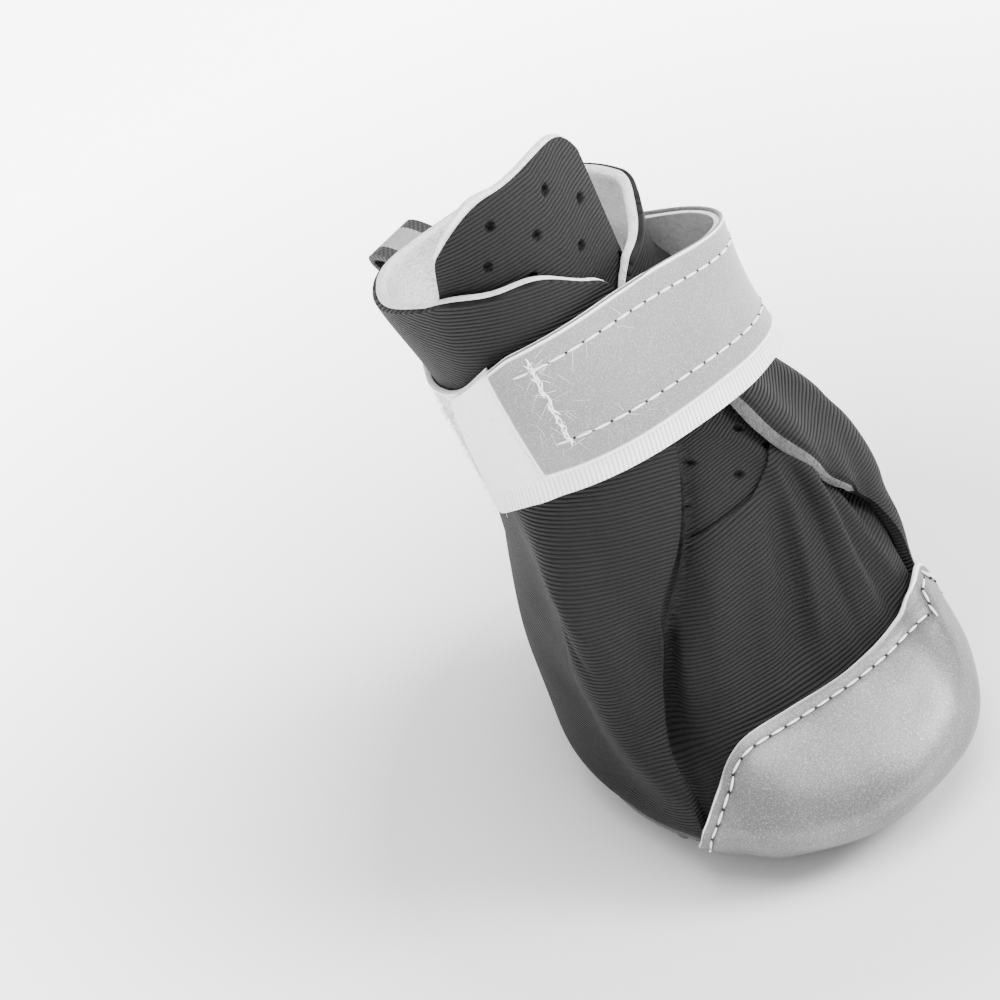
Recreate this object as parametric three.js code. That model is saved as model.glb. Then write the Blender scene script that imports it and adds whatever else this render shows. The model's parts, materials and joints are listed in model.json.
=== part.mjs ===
// Dog boot: a soft upper of two quarters and a vamp, a wide tongue, a toe cap,
// a wrap strap on a white tape, a heel strip with a pull loop, and a cupped rubber sole.
// Millimetres. +X is the toe, +Y the boot's left side, +Z up. The origin is on the
// floor, under the middle of the sole. Angles turn from the toe to the boot's left.

import * as THREE from "three";

// Sole
const soleLength = 86;
const soleWidth = 60;
const soleThickness = 2.6;
const soleWidestPlace = 0.55; // share of the length, from the heel
const soleRoundness = 1.9; // exponent of the outline: 2 is an ellipse, less is more pointed
const rimHeight = 6;
const rimWidth = 2.4;
const cupRun = 6.5; // from the outline in to the flat bottom
const lipStep = 0.5; // the rim stands out this far over the cupped side
const lipHeight = 1.8;
const toeSpring = 1.6;
const springStart = 20; // how far ahead of the origin the toe spring begins
const soleColumns = 56;

// Insole
const insoleThickness = 2;
const insoleMargin = 4.6; // in from the sole's outline

// Upper
const wall = 2;
const vampStep = 0.8; // the vamp lies this much lower than the quarters' edges
const stepRun = 6; // height over which the vamp's step grows, above the toe cap
const toeBulge = 4.2;
const heelBulge = 1.5;
const sideBulge = 3;
const upperSeatInset = 0.4; // in from the sole's outline, where the wall stands on the rim
const instepHeight = 26; // top of the toe box, at the vamp's middle
const vampTopHeight = 58; // where the tongue leaves the vamp
const collarHeight = 104;
const ankleFront = 11.5; // ahead of the origin, at the strap
const ankleBack = 39; // behind the origin, at the strap
const ankleWidth = 51;
const shaftLean = 6.5; // to the boot's right, at the collar
const shaftTwist = 17; // degrees to the boot's left, at the collar
const ankleRoundness = 2.15;
const toeRoundness = 2.15; // of the upper's toe, blunter than the sole
const quarterColumns = 46;
const vampColumns = 18;

// Toe cap
const capThickness = 0.9;
const capStandOff = 0.75; // the cap's inner face off the wall
const capHeight = 25; // its rear edge at the middle of the vamp

// Tongue
const tongueThickness = 1.8;
const tongueTop = 130;
const tongueLap = 5; // how far it reaches below the vamp's top edge
const tongueLeftAngle = 15;
const tongueRightAngle = -86;
const tongueSlack = 0.8; // how far the tongue hangs off the quarters' lining
const tongueRightFall = 0.143; // how much lower its corner on the boot's right is, as a share of its length
const tongueLeftFall = 0.08;
const tongueRightCurve = 1.6; // how evenly its top falls: 1 is a straight slope
const tongueLeftCurve = 9;
const tongueFootShare = 0.72; // its width at the vamp, as a share of its width in the collar
const raiseRun = 6; // the wall's slope over this height is carried on above the collar

// Strap and tapes
const tapeWidth = 27.5;
const tapeThickness = 1;
const silverWidth = 23.2;
const silverThickness = 0.5;
const strapHeight = 88.5; // middle of the tape at the front
const strapTilt = 0.3; // drop per millimetre towards the back
const silverEndAngle = -64;
const tapeEndAngle = -84;
const strapSewnAngle = 118;
const strapStandOff = 5.5; // how far the strap stands off at the boot's left
const loopTapeFrontAngle = -66;
const loopTapeLap = 8; // degrees that the tape and the strap share at the boot's left
const looseAngle = 52; // where the strap stands off the most
const looseSpread = 26;
const lapRun = 10; // degrees over which a strap climbs onto the tape under it
const lapClear = 2; // degrees past the end of that tape before the strap comes down
const bandStep = 5.5; // degrees from one column of a band to the next

// Heel strip and pull loop
const heelStripWidth = 13;
const heelStripThickness = 0.7;
const heelStripDrop = 12; // its top, below the collar's height
const heelStripHalfAngle = 15; // wider than the strip, so that the tape rises over it
const heelStripCrowding = 1.6; // its rows lie closer together near the sole
const pullLoopWidth = 10.5;
const pullLoopReach = 6.5;
const pullLoopHeight = 5.2;
const pullLoopDroop = 0.25; // how much it rises for each millimetre that it stands out
const pullLoopTape = 1.2;
const pullLoopDrop = 6; // its middle, below the collar's height
const pullLoopStandOff = 0.9;

const gap = 0.3; // between pieces that touch
const degree = Math.PI / 180;

const colours = {
  rubber: { color: 0x4c4c4c, roughness: 0.55, metalness: 0 },
  ribbedCloth: { color: 0x2c2c2c, roughness: 0.9, metalness: 0 },
  felt: { color: 0xd8d8d8, roughness: 1, metalness: 0 },
  silverCloth: { color: 0xb4b4b4, roughness: 0.45, metalness: 0.3 },
  whiteTape: { color: 0xf0f0f0, roughness: 0.85, metalness: 0 },
  blackTape: { color: 0x333333, roughness: 0.8, metalness: 0 },
};

// The wall's form, from the rim of the sole (first row) to the collar (last row).
// foot: share of the way from the rim to the instep. shaft: share from the instep to the collar.
// toe, heel, side: 1 is the sole's outline and 0 the ankle's. puff: share of the bulges.
const sections = [
  { foot: 0.0, shaft: 0.0, toe: 1.0, heel: 1.0, side: 1.0, puff: 0.0 },
  { foot: 0.1, shaft: 0.0, toe: 1.0, heel: 1.0, side: 1.0, puff: 0.55 },
  { foot: 0.26, shaft: 0.0, toe: 1.0, heel: 1.0, side: 1.0, puff: 0.95 },
  { foot: 0.5, shaft: 0.0, toe: 0.9, heel: 1.0, side: 1.0, puff: 1.0 },
  { foot: 0.75, shaft: 0.0, toe: 0.69, heel: 1.0, side: 1.0, puff: 1.0 },
  { foot: 1.0, shaft: 0.0, toe: 0.4, heel: 1.0, side: 1.0, puff: 1.0 },
  { foot: 1.0, shaft: 0.1, toe: 0.29, heel: 0.97, side: 1.0, puff: 1.0 },
  { foot: 1.0, shaft: 0.22, toe: 0.23, heel: 0.88, side: 1.0, puff: 0.95 },
  { foot: 1.0, shaft: 0.34, toe: 0.18, heel: 0.7, side: 0.92, puff: 0.8 },
  { foot: 1.0, shaft: 0.44, toe: 0.15, heel: 0.48, side: 0.68, puff: 0.5 },
  { foot: 1.0, shaft: 0.53, toe: 0.11, heel: 0.25, side: 0.36, puff: 0.2 },
  { foot: 1.0, shaft: 0.62, toe: 0.06, heel: 0.08, side: 0.12, puff: 0.0 },
  { foot: 1.0, shaft: 0.74, toe: 0.015, heel: 0.0, side: 0.0, puff: 0.0 },
  { foot: 1.0, shaft: 0.88, toe: -0.015, heel: 0.2, side: 0.05, puff: 0.0 },
  { foot: 1.0, shaft: 1.0, toe: -0.05, heel: 0.6, side: 0.2, puff: 0.0 },
];

// Front edges of the two quarters, in degrees round the boot, against the height as a share
// of the way from the rim to the collar. Below the vamp's top they are seams.
const quarterEdges = [
  { height: 0.0, right: -60, left: 60 },
  { height: 0.1, right: -56, left: 62 },
  { height: 0.23, right: -46, left: 62 },
  { height: 0.37, right: -37, left: 57 },
  { height: 0.43, right: -34, left: 50 },
  { height: 0.52, right: -23, left: 38 },
  { height: 0.62, right: -14, left: 31 },
  { height: 0.72, right: -7, left: 28 },
  { height: 0.85, right: -3, left: 19 },
  { height: 1.0, right: -3, left: 12 },
];

// Rear edge of the toe cap, in degrees round the boot. height: share of the way from the rim to
// the edge's height at the middle of the vamp.
const capRear = [
  { angle: -60, height: 0.14 },
  { angle: -55, height: 0.41 },
  { angle: -44.5, height: 0.73 },
  { angle: -28.5, height: 0.95 },
  { angle: -10, height: 1.01 },
  { angle: 12, height: 1.0 },
  { angle: 30, height: 1.01 },
  { angle: 45, height: 1.05 },
  { angle: 56, height: 1.12 },
  { angle: 63, height: 1.0 },
  { angle: 70, height: 0.73 },
  { angle: 76, height: 0.25 },
];

// The collar's rim rises and falls round the ankle.
const rimWaves = [
  { angle: -70, spread: 44, lift: 10 },
  { angle: -31, spread: 19, lift: 4.5 },
  { angle: 80, spread: 40, lift: 2 },
  { angle: 168, spread: 35, lift: -3 },
];

// Rolls and folds of the soft wall: where they start and end, as an angle and a share of the
// height, how far they stand out, as a share of the wall, and how wide they spread in degrees.
const folds = [
  { from: [-72, 0.6], to: [-56, 0.12], rise: 1.1, spread: 17 },
  { from: [-44, 0.44], to: [-42, 0.1], rise: -0.9, spread: 8 },
  { from: [-14, 0.48], to: [-24, 0.2], rise: 0.55, spread: 8 },
  { from: [14, 0.5], to: [2, 0.2], rise: -0.45, spread: 7 },
  { from: [34, 0.6], to: [18, 0.2], rise: 0.6, spread: 8 },
  { from: [52, 0.45], to: [38, 0.14], rise: -0.6, spread: 7 },
  { from: [72, 0.62], to: [68, 0.2], rise: 0.9, spread: 13 },
  { from: [118, 0.66], to: [104, 0.3], rise: -0.6, spread: 15 },
  { from: [-112, 0.66], to: [-100, 0.3], rise: -0.5, spread: 15 },
  { from: [-92, 0.3], to: [-80, 0.03], rise: -1.1, spread: 17 },
  { from: [44, 0.3], to: [38, 0.06], rise: 0.9, spread: 20 },
  { from: [-50, 0.26], to: [-54, 0.06], rise: -0.5, spread: 14 },
  { from: [-124, 0.95], to: [-118, 0.36], rise: -2.4, spread: 38 },
  { from: [150, 0.56], to: [142, 0.2], rise: 0.5, spread: 15 },
  { from: [-148, 0.56], to: [-140, 0.2], rise: 0.5, spread: 15 },
];

const mix = (a, b, share) => a + (b - a) * share;
const clamp01 = (value) => Math.min(1, Math.max(0, value));
const smooth = (value) => {
  const t = clamp01(value);
  return t * t * (3 - 2 * t);
};
const bell = (distance) => Math.exp(-distance * distance);
const signedPower = (value, power) => Math.sign(value) * Math.abs(value) ** power;
const wrapDegrees = (value) => ((((value + 180) % 360) + 360) % 360) - 180;

// Reads one column of a table at a place between its rows, on a smooth curve through them.
function readTable(rows, places, column, place) {
  const last = rows.length - 1;
  let k = 0;
  while (k < last - 1 && place > places[k + 1]) k += 1;
  const value = (n) => rows[Math.min(last, Math.max(0, n))][column];
  const at = (n) => places[Math.min(last, Math.max(0, n))];
  const step = at(k + 1) - at(k);
  const slope = (n) => (value(n + 1) - value(n - 1)) / (at(n + 1) - at(n - 1));
  const t = clamp01((place - at(k)) / step);
  const a = slope(k) * step;
  const b = slope(k + 1) * step;
  const t2 = t * t;
  const t3 = t2 * t;
  return (
    value(k) * (2 * t3 - 3 * t2 + 1) + a * (t3 - 2 * t2 + t) + value(k + 1) * (3 * t2 - 2 * t3) + b * (t3 - t2)
  );
}

const wallFoot = rimHeight + gap;
const sectionHeights = sections.map(
  (row) => wallFoot + row.foot * (instepHeight - wallFoot) + row.shaft * (collarHeight - instepHeight),
);
const edgeHeights = quarterEdges.map((row) => row.height);
const heightShare = (z) => (z - wallFoot) / (collarHeight - wallFoot);

// A closed outline in the XY plane that is a superellipse with a longer or shorter back half.
function outlinePoint(angle, { front, back, halfWidth, middle, roundness }) {
  const c = signedPower(Math.cos(angle), 2 / roundness);
  const s = signedPower(Math.sin(angle), 2 / roundness);
  const reach = c > 0 ? front - middle : middle + back;
  return [middle + reach * c, halfWidth * s];
}

const soleMiddle = soleLength * (soleWidestPlace - 0.5);

function soleOutline(angle, inset) {
  return outlinePoint(angle, {
    front: soleLength / 2 - inset,
    back: soleLength / 2 - inset,
    halfWidth: soleWidth / 2 - inset,
    middle: soleMiddle,
    roundness: soleRoundness,
  });
}

// The wall's outer face before its folds.
function formPoint(angle, z) {
  const read = (column) => readTable(sections, sectionHeights, column, z);
  const puff = read("puff");
  const side = read("side");
  const share = smooth((z - instepHeight) / (collarHeight - instepHeight));
  const seat = (1 - clamp01(puff * 2)) * upperSeatInset * (z < instepHeight ? 1 : 0);
  const formRoundness = Math.cos(angle) > 0 ? mix(soleRoundness, toeRoundness, clamp01(puff)) : soleRoundness;
  const [x, y] = outlinePoint(angle, {
    front: mix(ankleFront, soleLength / 2, read("toe")) + toeBulge * puff - seat,
    back: mix(ankleBack, soleLength / 2, read("heel")) + heelBulge * puff - seat,
    halfWidth: mix(ankleWidth / 2, soleWidth / 2, side) + sideBulge * puff - seat,
    middle: mix((ankleFront - ankleBack) / 2, soleMiddle, clamp01(side)),
    roundness: mix(ankleRoundness, formRoundness, clamp01(side)),
  });
  const turn = shaftTwist * degree * share;
  const centre = (ankleFront - ankleBack) / 2;
  const dx = x - centre;
  return new THREE.Vector3(
    centre + dx * Math.cos(turn) - y * Math.sin(turn),
    dx * Math.sin(turn) + y * Math.cos(turn) - shaftLean * share,
    z,
  );
}

// How far the folds push the wall out at a place.
function foldRise(angle, z) {
  const share = heightShare(z);
  let rise = 0;
  for (const fold of folds) {
    const [a0, h0] = fold.from;
    const [a1, h1] = fold.to;
    const along = (h0 - share) / (h0 - h1);
    const ends = smooth(1.5 - Math.abs(along - 0.5) * 2);
    const across = wrapDegrees(angle / degree - mix(a0, a1, along)) / fold.spread;
    rise += fold.rise * wall * ends * bell(across);
  }
  return rise;
}

const nudge = 0.01;

function normalOf(point, angle, z) {
  const around = point(angle + nudge, z).sub(point(angle - nudge, z));
  const up = point(angle, z + nudge * 20).sub(point(angle, z - nudge * 20));
  return around.cross(up).normalize();
}

function foldedPoint(angle, z) {
  return formPoint(angle, z).addScaledVector(normalOf(formPoint, angle, z), foldRise(angle, z));
}

// A point of the wall's outer face, moved out of the wall by a distance.
function wallPoint(angle, z, out = 0) {
  const point = foldedPoint(angle, z);
  return out === 0 ? point : point.addScaledVector(normalOf(foldedPoint, angle, z), out);
}

function edgeAngle(side, z) {
  return readTable(quarterEdges, edgeHeights, side, clamp01(heightShare(z))) * degree;
}

function rimOf(angle) {
  let rim = collarHeight;
  for (const wave of rimWaves) rim += wave.lift * bell(wrapDegrees(angle / degree - wave.angle) / wave.spread);
  return rim;
}

// Gathers triangles on shared corners. Corners of a face run anticlockwise, seen from outside.
class Skin {
  constructor() {
    this.places = [];
    this.index = [];
    this.known = new Map();
  }

  corner(point) {
    const key = [point.x, point.y, point.z].map((v) => Math.round(v * 2000)).join(",");
    if (!this.known.has(key)) {
      this.known.set(key, this.places.length / 3);
      this.places.push(point.x, point.y, point.z);
    }
    return this.known.get(key);
  }

  triangle(a, b, c) {
    const [i, j, k] = [a, b, c].map((point) => this.corner(point));
    if (i !== j && j !== k && k !== i) this.index.push(i, j, k);
  }

  quad(a, b, c, d) {
    const flat = a.distanceTo(c) <= b.distanceTo(d);
    if (flat) {
      this.triangle(a, b, c);
      this.triangle(a, c, d);
    } else {
      this.triangle(a, b, d);
      this.triangle(b, c, d);
    }
  }

  fan(apex, ring) {
    for (let k = 0; k + 1 < ring.length; k += 1) this.triangle(apex, ring[k], ring[k + 1]);
  }

  mesh(name, finish) {
    const geometry = new THREE.BufferGeometry();
    geometry.setAttribute("position", new THREE.Float32BufferAttribute(this.places, 3));
    geometry.setIndex(this.index);
    geometry.computeVertexNormals();
    const mesh = new THREE.Mesh(geometry, new THREE.MeshStandardMaterial(colours[finish]));
    mesh.name = name;
    return mesh;
  }
}

// Two faces of a wall, outer(i, j) and inner(i, j), with i round the boot and j up, and the
// narrow faces that join them along the bottom and the top.
function addWall(skin, columns, rows, outer, inner) {
  for (let i = 0; i < columns; i += 1) {
    for (let j = 0; j < rows; j += 1) {
      skin.quad(outer(i, j), outer(i + 1, j), outer(i + 1, j + 1), outer(i, j + 1));
      skin.quad(inner(i, j), inner(i, j + 1), inner(i + 1, j + 1), inner(i + 1, j));
    }
    skin.quad(outer(i, 0), inner(i, 0), inner(i + 1, 0), outer(i + 1, 0));
    skin.quad(outer(i, rows), outer(i + 1, rows), inner(i + 1, rows), inner(i, rows));
  }
}

// A closed sheet with four edges.
function sheet(name, finish, columns, rows, outer, inner) {
  const skin = new Skin();
  addWall(skin, columns, rows, outer, inner);
  for (let j = 0; j < rows; j += 1) {
    skin.quad(outer(0, j), outer(0, j + 1), inner(0, j + 1), inner(0, j));
    skin.quad(outer(columns, j), inner(columns, j), inner(columns, j + 1), outer(columns, j + 1));
  }
  return skin.mesh(name, finish);
}

// A solid between rings that run round the sole, closed at its middle above and below.
function ringSolid(name, finish, columns, rings) {
  const skin = new Skin();
  const centre = (ring) => {
    const middle = new THREE.Vector3();
    for (let i = 0; i < columns; i += 1) middle.addScaledVector(ring(i), 1 / columns);
    return middle;
  };
  const bottom = centre(rings[0]);
  const top = centre(rings[rings.length - 1]);
  for (let i = 0; i < columns; i += 1) {
    skin.triangle(bottom, rings[0](i + 1), rings[0](i));
    skin.triangle(top, rings[rings.length - 1](i), rings[rings.length - 1](i + 1));
    for (let k = 0; k + 1 < rings.length; k += 1) {
      skin.quad(rings[k](i), rings[k](i + 1), rings[k + 1](i + 1), rings[k + 1](i));
    }
  }
  return skin.mesh(name, finish);
}

// Levels of the wall, closer together where it curves most.
const wallLevels = [0, 0.02, 0.045, 0.085, 0.13, 0.175, 0.22, 0.28, 0.345, 0.4, 0.45];
const vampLevel = 0.46; // the vamp's top, on the same scale
const vampRows = wallLevels.length;
const shaftLevels = 11;

function levelShare(j) {
  if (j < wallLevels.length) return (wallLevels[j] / vampLevel) * heightShare(vampTopHeight);
  const up = (j - vampRows) / shaftLevels;
  return mix(heightShare(vampTopHeight), 1, up);
}

const wallRows = vampRows + shaftLevels;

function levelHeight(angle, j) {
  return wallFoot + levelShare(j) * (rimOf(angle) - wallFoot);
}

// Outsole: a flat tread that turns up into a cupped rim, with a lip, and a toe that springs up.
// inset: share of the cup's run. height: share of the way up to the lip.
const cupProfile = [
  { inset: 1, height: 0 },
  { inset: 0.62, height: 0.14 },
  { inset: 0.32, height: 0.5 },
  { inset: 0.14, height: 0.96 },
];

function treadLift(x) {
  const run = soleLength / 2 - springStart;
  return toeSpring * Math.max(0, (x - springStart) / run) ** 2;
}

function soleRing(inset, height, sprung) {
  return (i) => {
    const [x, y] = soleOutline((i / soleColumns) * 2 * Math.PI, inset);
    const lift = sprung ? treadLift(x) * (1 - height / rimHeight) : 0;
    return new THREE.Vector3(x, y, height + lift);
  };
}

function makeOutsole() {
  const treadShares = [0.45, 0.75];
  const tread = treadShares.map((share) => soleRing(soleWidth / 2 - (soleWidth / 2 - cupRun) * share, 0, true));
  const cup = cupProfile.map((row) =>
    soleRing(row.inset * cupRun, row.height * (rimHeight - lipHeight), true),
  );
  const rim = [
    soleRing(lipStep, rimHeight - lipHeight, false),
    soleRing(0, rimHeight - lipHeight + lipStep, false),
    soleRing(0, rimHeight, false),
    soleRing(rimWidth, rimHeight, false),
  ];
  const floorRing = soleRing(insoleMargin - gap, soleThickness, false);
  return ringSolid("outsole", "rubber", soleColumns, [...tread, ...cup, ...rim, floorRing]);
}

function makeInsole() {
  const bottom = soleThickness + gap;
  return ringSolid("insole", "felt", soleColumns, [
    soleRing(insoleMargin + gap, bottom, false),
    soleRing(insoleMargin, bottom + insoleThickness, false),
  ]);
}

// Upper: two quarters in one wall with the lower, thinner vamp between them.
function makeUpper() {
  const skin = new Skin();
  const quarterAngle = (i, z) => mix(edgeAngle("left", z), edgeAngle("right", z) + 2 * Math.PI, i / quarterColumns);
  const vampAngle = (i, z) => mix(edgeAngle("right", z), edgeAngle("left", z), i / vampColumns);
  const place = (angleOf, outAt) => (i, j) => {
    const level = wallFoot + levelShare(j) * (collarHeight - wallFoot);
    const angle = angleOf(i, level);
    return wallPoint(angle, levelHeight(angle, j), outAt(level));
  };
  const vampDepth = (z) => -vampStep * smooth((z - capHeight) / stepRun);
  const outer = place(quarterAngle, () => 0);
  const inner = place(quarterAngle, () => -wall);
  const vampOuter = place(vampAngle, vampDepth);
  const vampInner = place(vampAngle, () => -wall);
  const last = quarterColumns;
  addWall(skin, quarterColumns, wallRows, outer, inner);
  addWall(skin, vampColumns, vampRows, vampOuter, vampInner);
  // The step from each quarter down to the vamp, and above it the quarters' free edges.
  for (let j = 0; j < vampRows; j += 1) {
    skin.quad(outer(0, j), outer(0, j + 1), vampOuter(vampColumns, j + 1), vampOuter(vampColumns, j));
    skin.quad(outer(last, j), vampOuter(0, j), vampOuter(0, j + 1), outer(last, j + 1));
  }
  for (let j = vampRows + 1; j < wallRows; j += 1) {
    skin.quad(outer(0, j), outer(0, j + 1), inner(0, j + 1), inner(0, j));
    skin.quad(outer(last, j), inner(last, j), inner(last, j + 1), outer(last, j + 1));
  }
  const j = vampRows;
  skin.fan(vampOuter(vampColumns, j), [outer(0, j), outer(0, j + 1), inner(0, j + 1), inner(0, j)]);
  skin.fan(vampOuter(0, j), [inner(last, j), inner(last, j + 1), outer(last, j + 1), outer(last, j)]);
  return skin.mesh("upper", "ribbedCloth");
}

// Tongue: a curved panel inside the quarters, lapped behind the vamp's top edge.
function makeTongue() {
  const columns = 18;
  const rows = 13;
  const foot = vampTopHeight - tongueLap;
  const topAt = (s) => {
    const fall = s < 0 ? tongueRightFall * (-s) ** tongueRightCurve : tongueLeftFall * s ** tongueLeftCurve;
    return mix(foot, tongueTop, 1 - fall);
  };
  const centreAngle = (tongueLeftAngle + tongueRightAngle) * 0.5 * degree;
  const halfAngle = (tongueLeftAngle - tongueRightAngle) * 0.5 * degree;
  const footAngle = (edgeAngle("left", foot) + edgeAngle("right", foot)) / 2;
  const place = (out) => (i, j) => {
    const s = (2 * i) / columns - 1;
    const z = mix(foot, topAt(s), j / rows);
    const share = smooth((z - vampTopHeight) / (strapHeight - vampTopHeight));
    const angle = mix(footAngle, centreAngle, share) + s * halfAngle * mix(tongueFootShare, 1, share);
    return raisedPoint(angle, z, out - tongueSlack * share);
  };
  const face = -(wall + gap);
  return sheet("tongue", "ribbedCloth", columns, rows, place(face), place(face - tongueThickness));
}

// A point of the wall, carried on above the collar's rim at the slope that the shaft has there.
function raisedPoint(angle, z, out) {
  const rim = Math.max(rimOf(angle), collarHeight);
  if (z <= rim) return wallPoint(angle, z, out);
  const slope = wallPoint(angle, collarHeight, out).sub(wallPoint(angle, collarHeight - raiseRun, out));
  return wallPoint(angle, rim, out).addScaledVector(slope, (z - rim) / raiseRun).setZ(z);
}

// Toe cap: laid over the upper's own form from the sole's rim to its rear edge.
function makeToeCap() {
  const columns = 29;
  const rows = 14;
  const capAngles = capRear.map((row) => row.angle);
  const place = (out) => (i, j) => {
    const turn = mix(capAngles[0], capAngles[capAngles.length - 1], i / columns);
    const rear = mix(wallFoot, capHeight, readTable(capRear, capAngles, "height", turn));
    return wallPoint(turn * degree, mix(wallFoot + gap, rear, j / rows), out);
  };
  return sheet("toe_cap", "silverCloth", columns, rows, place(capStandOff + capThickness), place(capStandOff));
}

// Bands: strips that run round the ankle, all on one tilted line.
function bandHeight(angle) {
  return strapHeight - strapTilt * (ankleFront - formPoint(angle, strapHeight).x);
}

function band(name, finish, { from, to, levels, out, thickness }) {
  const columns = Math.ceil((to - from) / bandStep);
  const place = (extra) => (i, j) => {
    const turn = Math.max(from, to - (columns - i) * bandStep);
    const angle = turn * degree;
    return wallPoint(angle, bandHeight(angle) + levels[j], out(turn) + extra);
  };
  return sheet(name, finish, columns, levels.length - 1, place(thickness), place(0));
}

const underLayer = tapeThickness + gap;
// Heights of the bands' rows, from the middle of the tape.
const silverLevels = [1, 2 / 3, 1 / 3, 0].map((share) => tapeWidth / 2 - silverWidth * share);
const tapeLevels = [-tapeWidth / 2, ...silverLevels];
const loopTapeOut = (turn) => {
  const over = 1 - smooth((Math.abs(wrapDegrees(turn - 180)) - heelStripHalfAngle) / lapRun);
  return gap + (heelStripThickness + gap) * over;
};
const tapeOut = (turn) => {
  const overRight = 1 - smooth((turn - loopTapeFrontAngle - lapClear) / lapRun);
  const overLeft = smooth((turn - strapSewnAngle + loopTapeLap + lapClear) / lapRun + 1);
  const loose = strapStandOff * bell((turn - looseAngle) / looseSpread);
  return gap + underLayer * Math.max(overRight, overLeft) + loose * (1 - overLeft);
};

function makeLoopTape() {
  return band("loop_tape", "whiteTape", {
    from: strapSewnAngle - loopTapeLap,
    to: 360 + loopTapeFrontAngle,
    levels: tapeLevels,
    out: loopTapeOut,
    thickness: tapeThickness,
  });
}

function makeStrapTape() {
  return band("strap_tape", "whiteTape", {
    from: tapeEndAngle,
    to: strapSewnAngle,
    levels: tapeLevels,
    out: tapeOut,
    thickness: tapeThickness,
  });
}

function makeStrapSilver() {
  return band("strap_silver", "silverCloth", {
    from: silverEndAngle,
    to: strapSewnAngle,
    levels: silverLevels,
    out: (turn) => tapeOut(turn) + underLayer,
    thickness: silverThickness,
  });
}

// Heel strip: up the back seam, behind the loop tape.
function makeHeelStrip() {
  const columns = 4;
  const rows = 16;
  const foot = wallFoot + gap;
  const place = (out) => (i, j) => {
    const z = mix(foot, collarHeight - heelStripDrop, (j / rows) ** heelStripCrowding);
    const middle = wallPoint(Math.PI, z);
    const radius = Math.hypot(middle.x - (ankleFront - ankleBack) / 2, middle.y);
    const across = (heelStripWidth * (i / columns - 0.5)) / radius;
    return wallPoint(Math.PI + across, z, out);
  };
  return sheet("heel_strip", "blackTape", columns, rows, place(gap + heelStripThickness), place(gap));
}

// Pull loop: a folded tape that stands out of the collar's back.
function makePullLoop() {
  const columns = 3;
  const turns = 9;
  const middle = collarHeight - pullLoopDrop;
  const back = wallPoint(Math.PI, middle, pullLoopStandOff);
  const out = normalOf(foldedPoint, Math.PI, middle).setZ(0).normalize();
  const across = new THREE.Vector3(-out.y, out.x, 0);
  const place = (inset) => (i, j) => {
    const turn = Math.PI * (j / turns - 0.5);
    const reach = (pullLoopReach - inset) * Math.cos(turn);
    const rise = (pullLoopHeight / 2 - inset) * Math.sin(turn);
    return back
      .clone()
      .addScaledVector(out, reach)
      .addScaledVector(across, pullLoopWidth * (i / columns - 0.5))
      .setZ(middle + rise + pullLoopDroop * reach);
  };
  return sheet("pull_loop", "blackTape", columns, turns, place(0), place(pullLoopTape));
}

const boot = new THREE.Group();
const pieces = [
  makeOutsole,
  makeInsole,
  makeUpper,
  makeTongue,
  makeToeCap,
  makeLoopTape,
  makeStrapTape,
  makeStrapSilver,
  makeHeelStrip,
  makePullLoop,
];
for (const make of pieces) boot.add(make());

export default boot;
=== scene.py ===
import json
import math

import bpy
import numpy as np
from mathutils import Matrix, Vector

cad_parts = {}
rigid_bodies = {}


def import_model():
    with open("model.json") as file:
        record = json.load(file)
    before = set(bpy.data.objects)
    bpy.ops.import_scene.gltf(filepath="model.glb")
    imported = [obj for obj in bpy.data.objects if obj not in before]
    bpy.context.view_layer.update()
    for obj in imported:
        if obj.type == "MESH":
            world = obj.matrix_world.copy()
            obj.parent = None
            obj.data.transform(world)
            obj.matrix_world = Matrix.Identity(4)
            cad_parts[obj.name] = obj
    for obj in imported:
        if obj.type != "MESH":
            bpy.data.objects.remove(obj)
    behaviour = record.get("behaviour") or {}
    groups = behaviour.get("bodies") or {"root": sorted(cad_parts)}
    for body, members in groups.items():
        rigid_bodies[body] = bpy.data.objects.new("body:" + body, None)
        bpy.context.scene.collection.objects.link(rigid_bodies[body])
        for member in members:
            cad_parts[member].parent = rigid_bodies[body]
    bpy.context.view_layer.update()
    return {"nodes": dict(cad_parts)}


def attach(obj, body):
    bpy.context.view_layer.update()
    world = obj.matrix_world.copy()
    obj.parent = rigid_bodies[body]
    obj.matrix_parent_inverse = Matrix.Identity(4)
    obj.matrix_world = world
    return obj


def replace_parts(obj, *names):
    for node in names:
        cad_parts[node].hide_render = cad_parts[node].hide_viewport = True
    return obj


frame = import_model()

# Lengths below are in millimetres, in the frame of the solids: +X toe, +Y the boot's left, +Z up.
# Angles are in degrees, from the toe towards the boot's left.
mm = 0.001
root = "root"
gap = 0.3

scene = bpy.context.scene


# Form of the boot.
soleForm = {
    "length": 86, "width": 60, "thickness": 2.6, "widestPlace": 0.55, "roundness": 1.9, "rimHeight": 6,
    "cupRun": 6.5, "lipHeight": 1.8, "toeSpring": 1.6, "springStart": 20,
}
wallForm = {
    "thickness": 2, "vampStep": 0.8, "toeBulge": 4.2, "heelBulge": 1.5, "sideBulge": 3, "seatInset": 0.4,
    "instep": 26, "vampTop": 58, "collar": 104, "ankleFront": 11.5, "ankleBack": 39, "ankleWidth": 51,
    "lean": 6.5, "twist": 17, "ankleRoundness": 2.15, "toeRoundness": 2.15,
}
wallFoot = soleForm["rimHeight"] + gap

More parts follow.
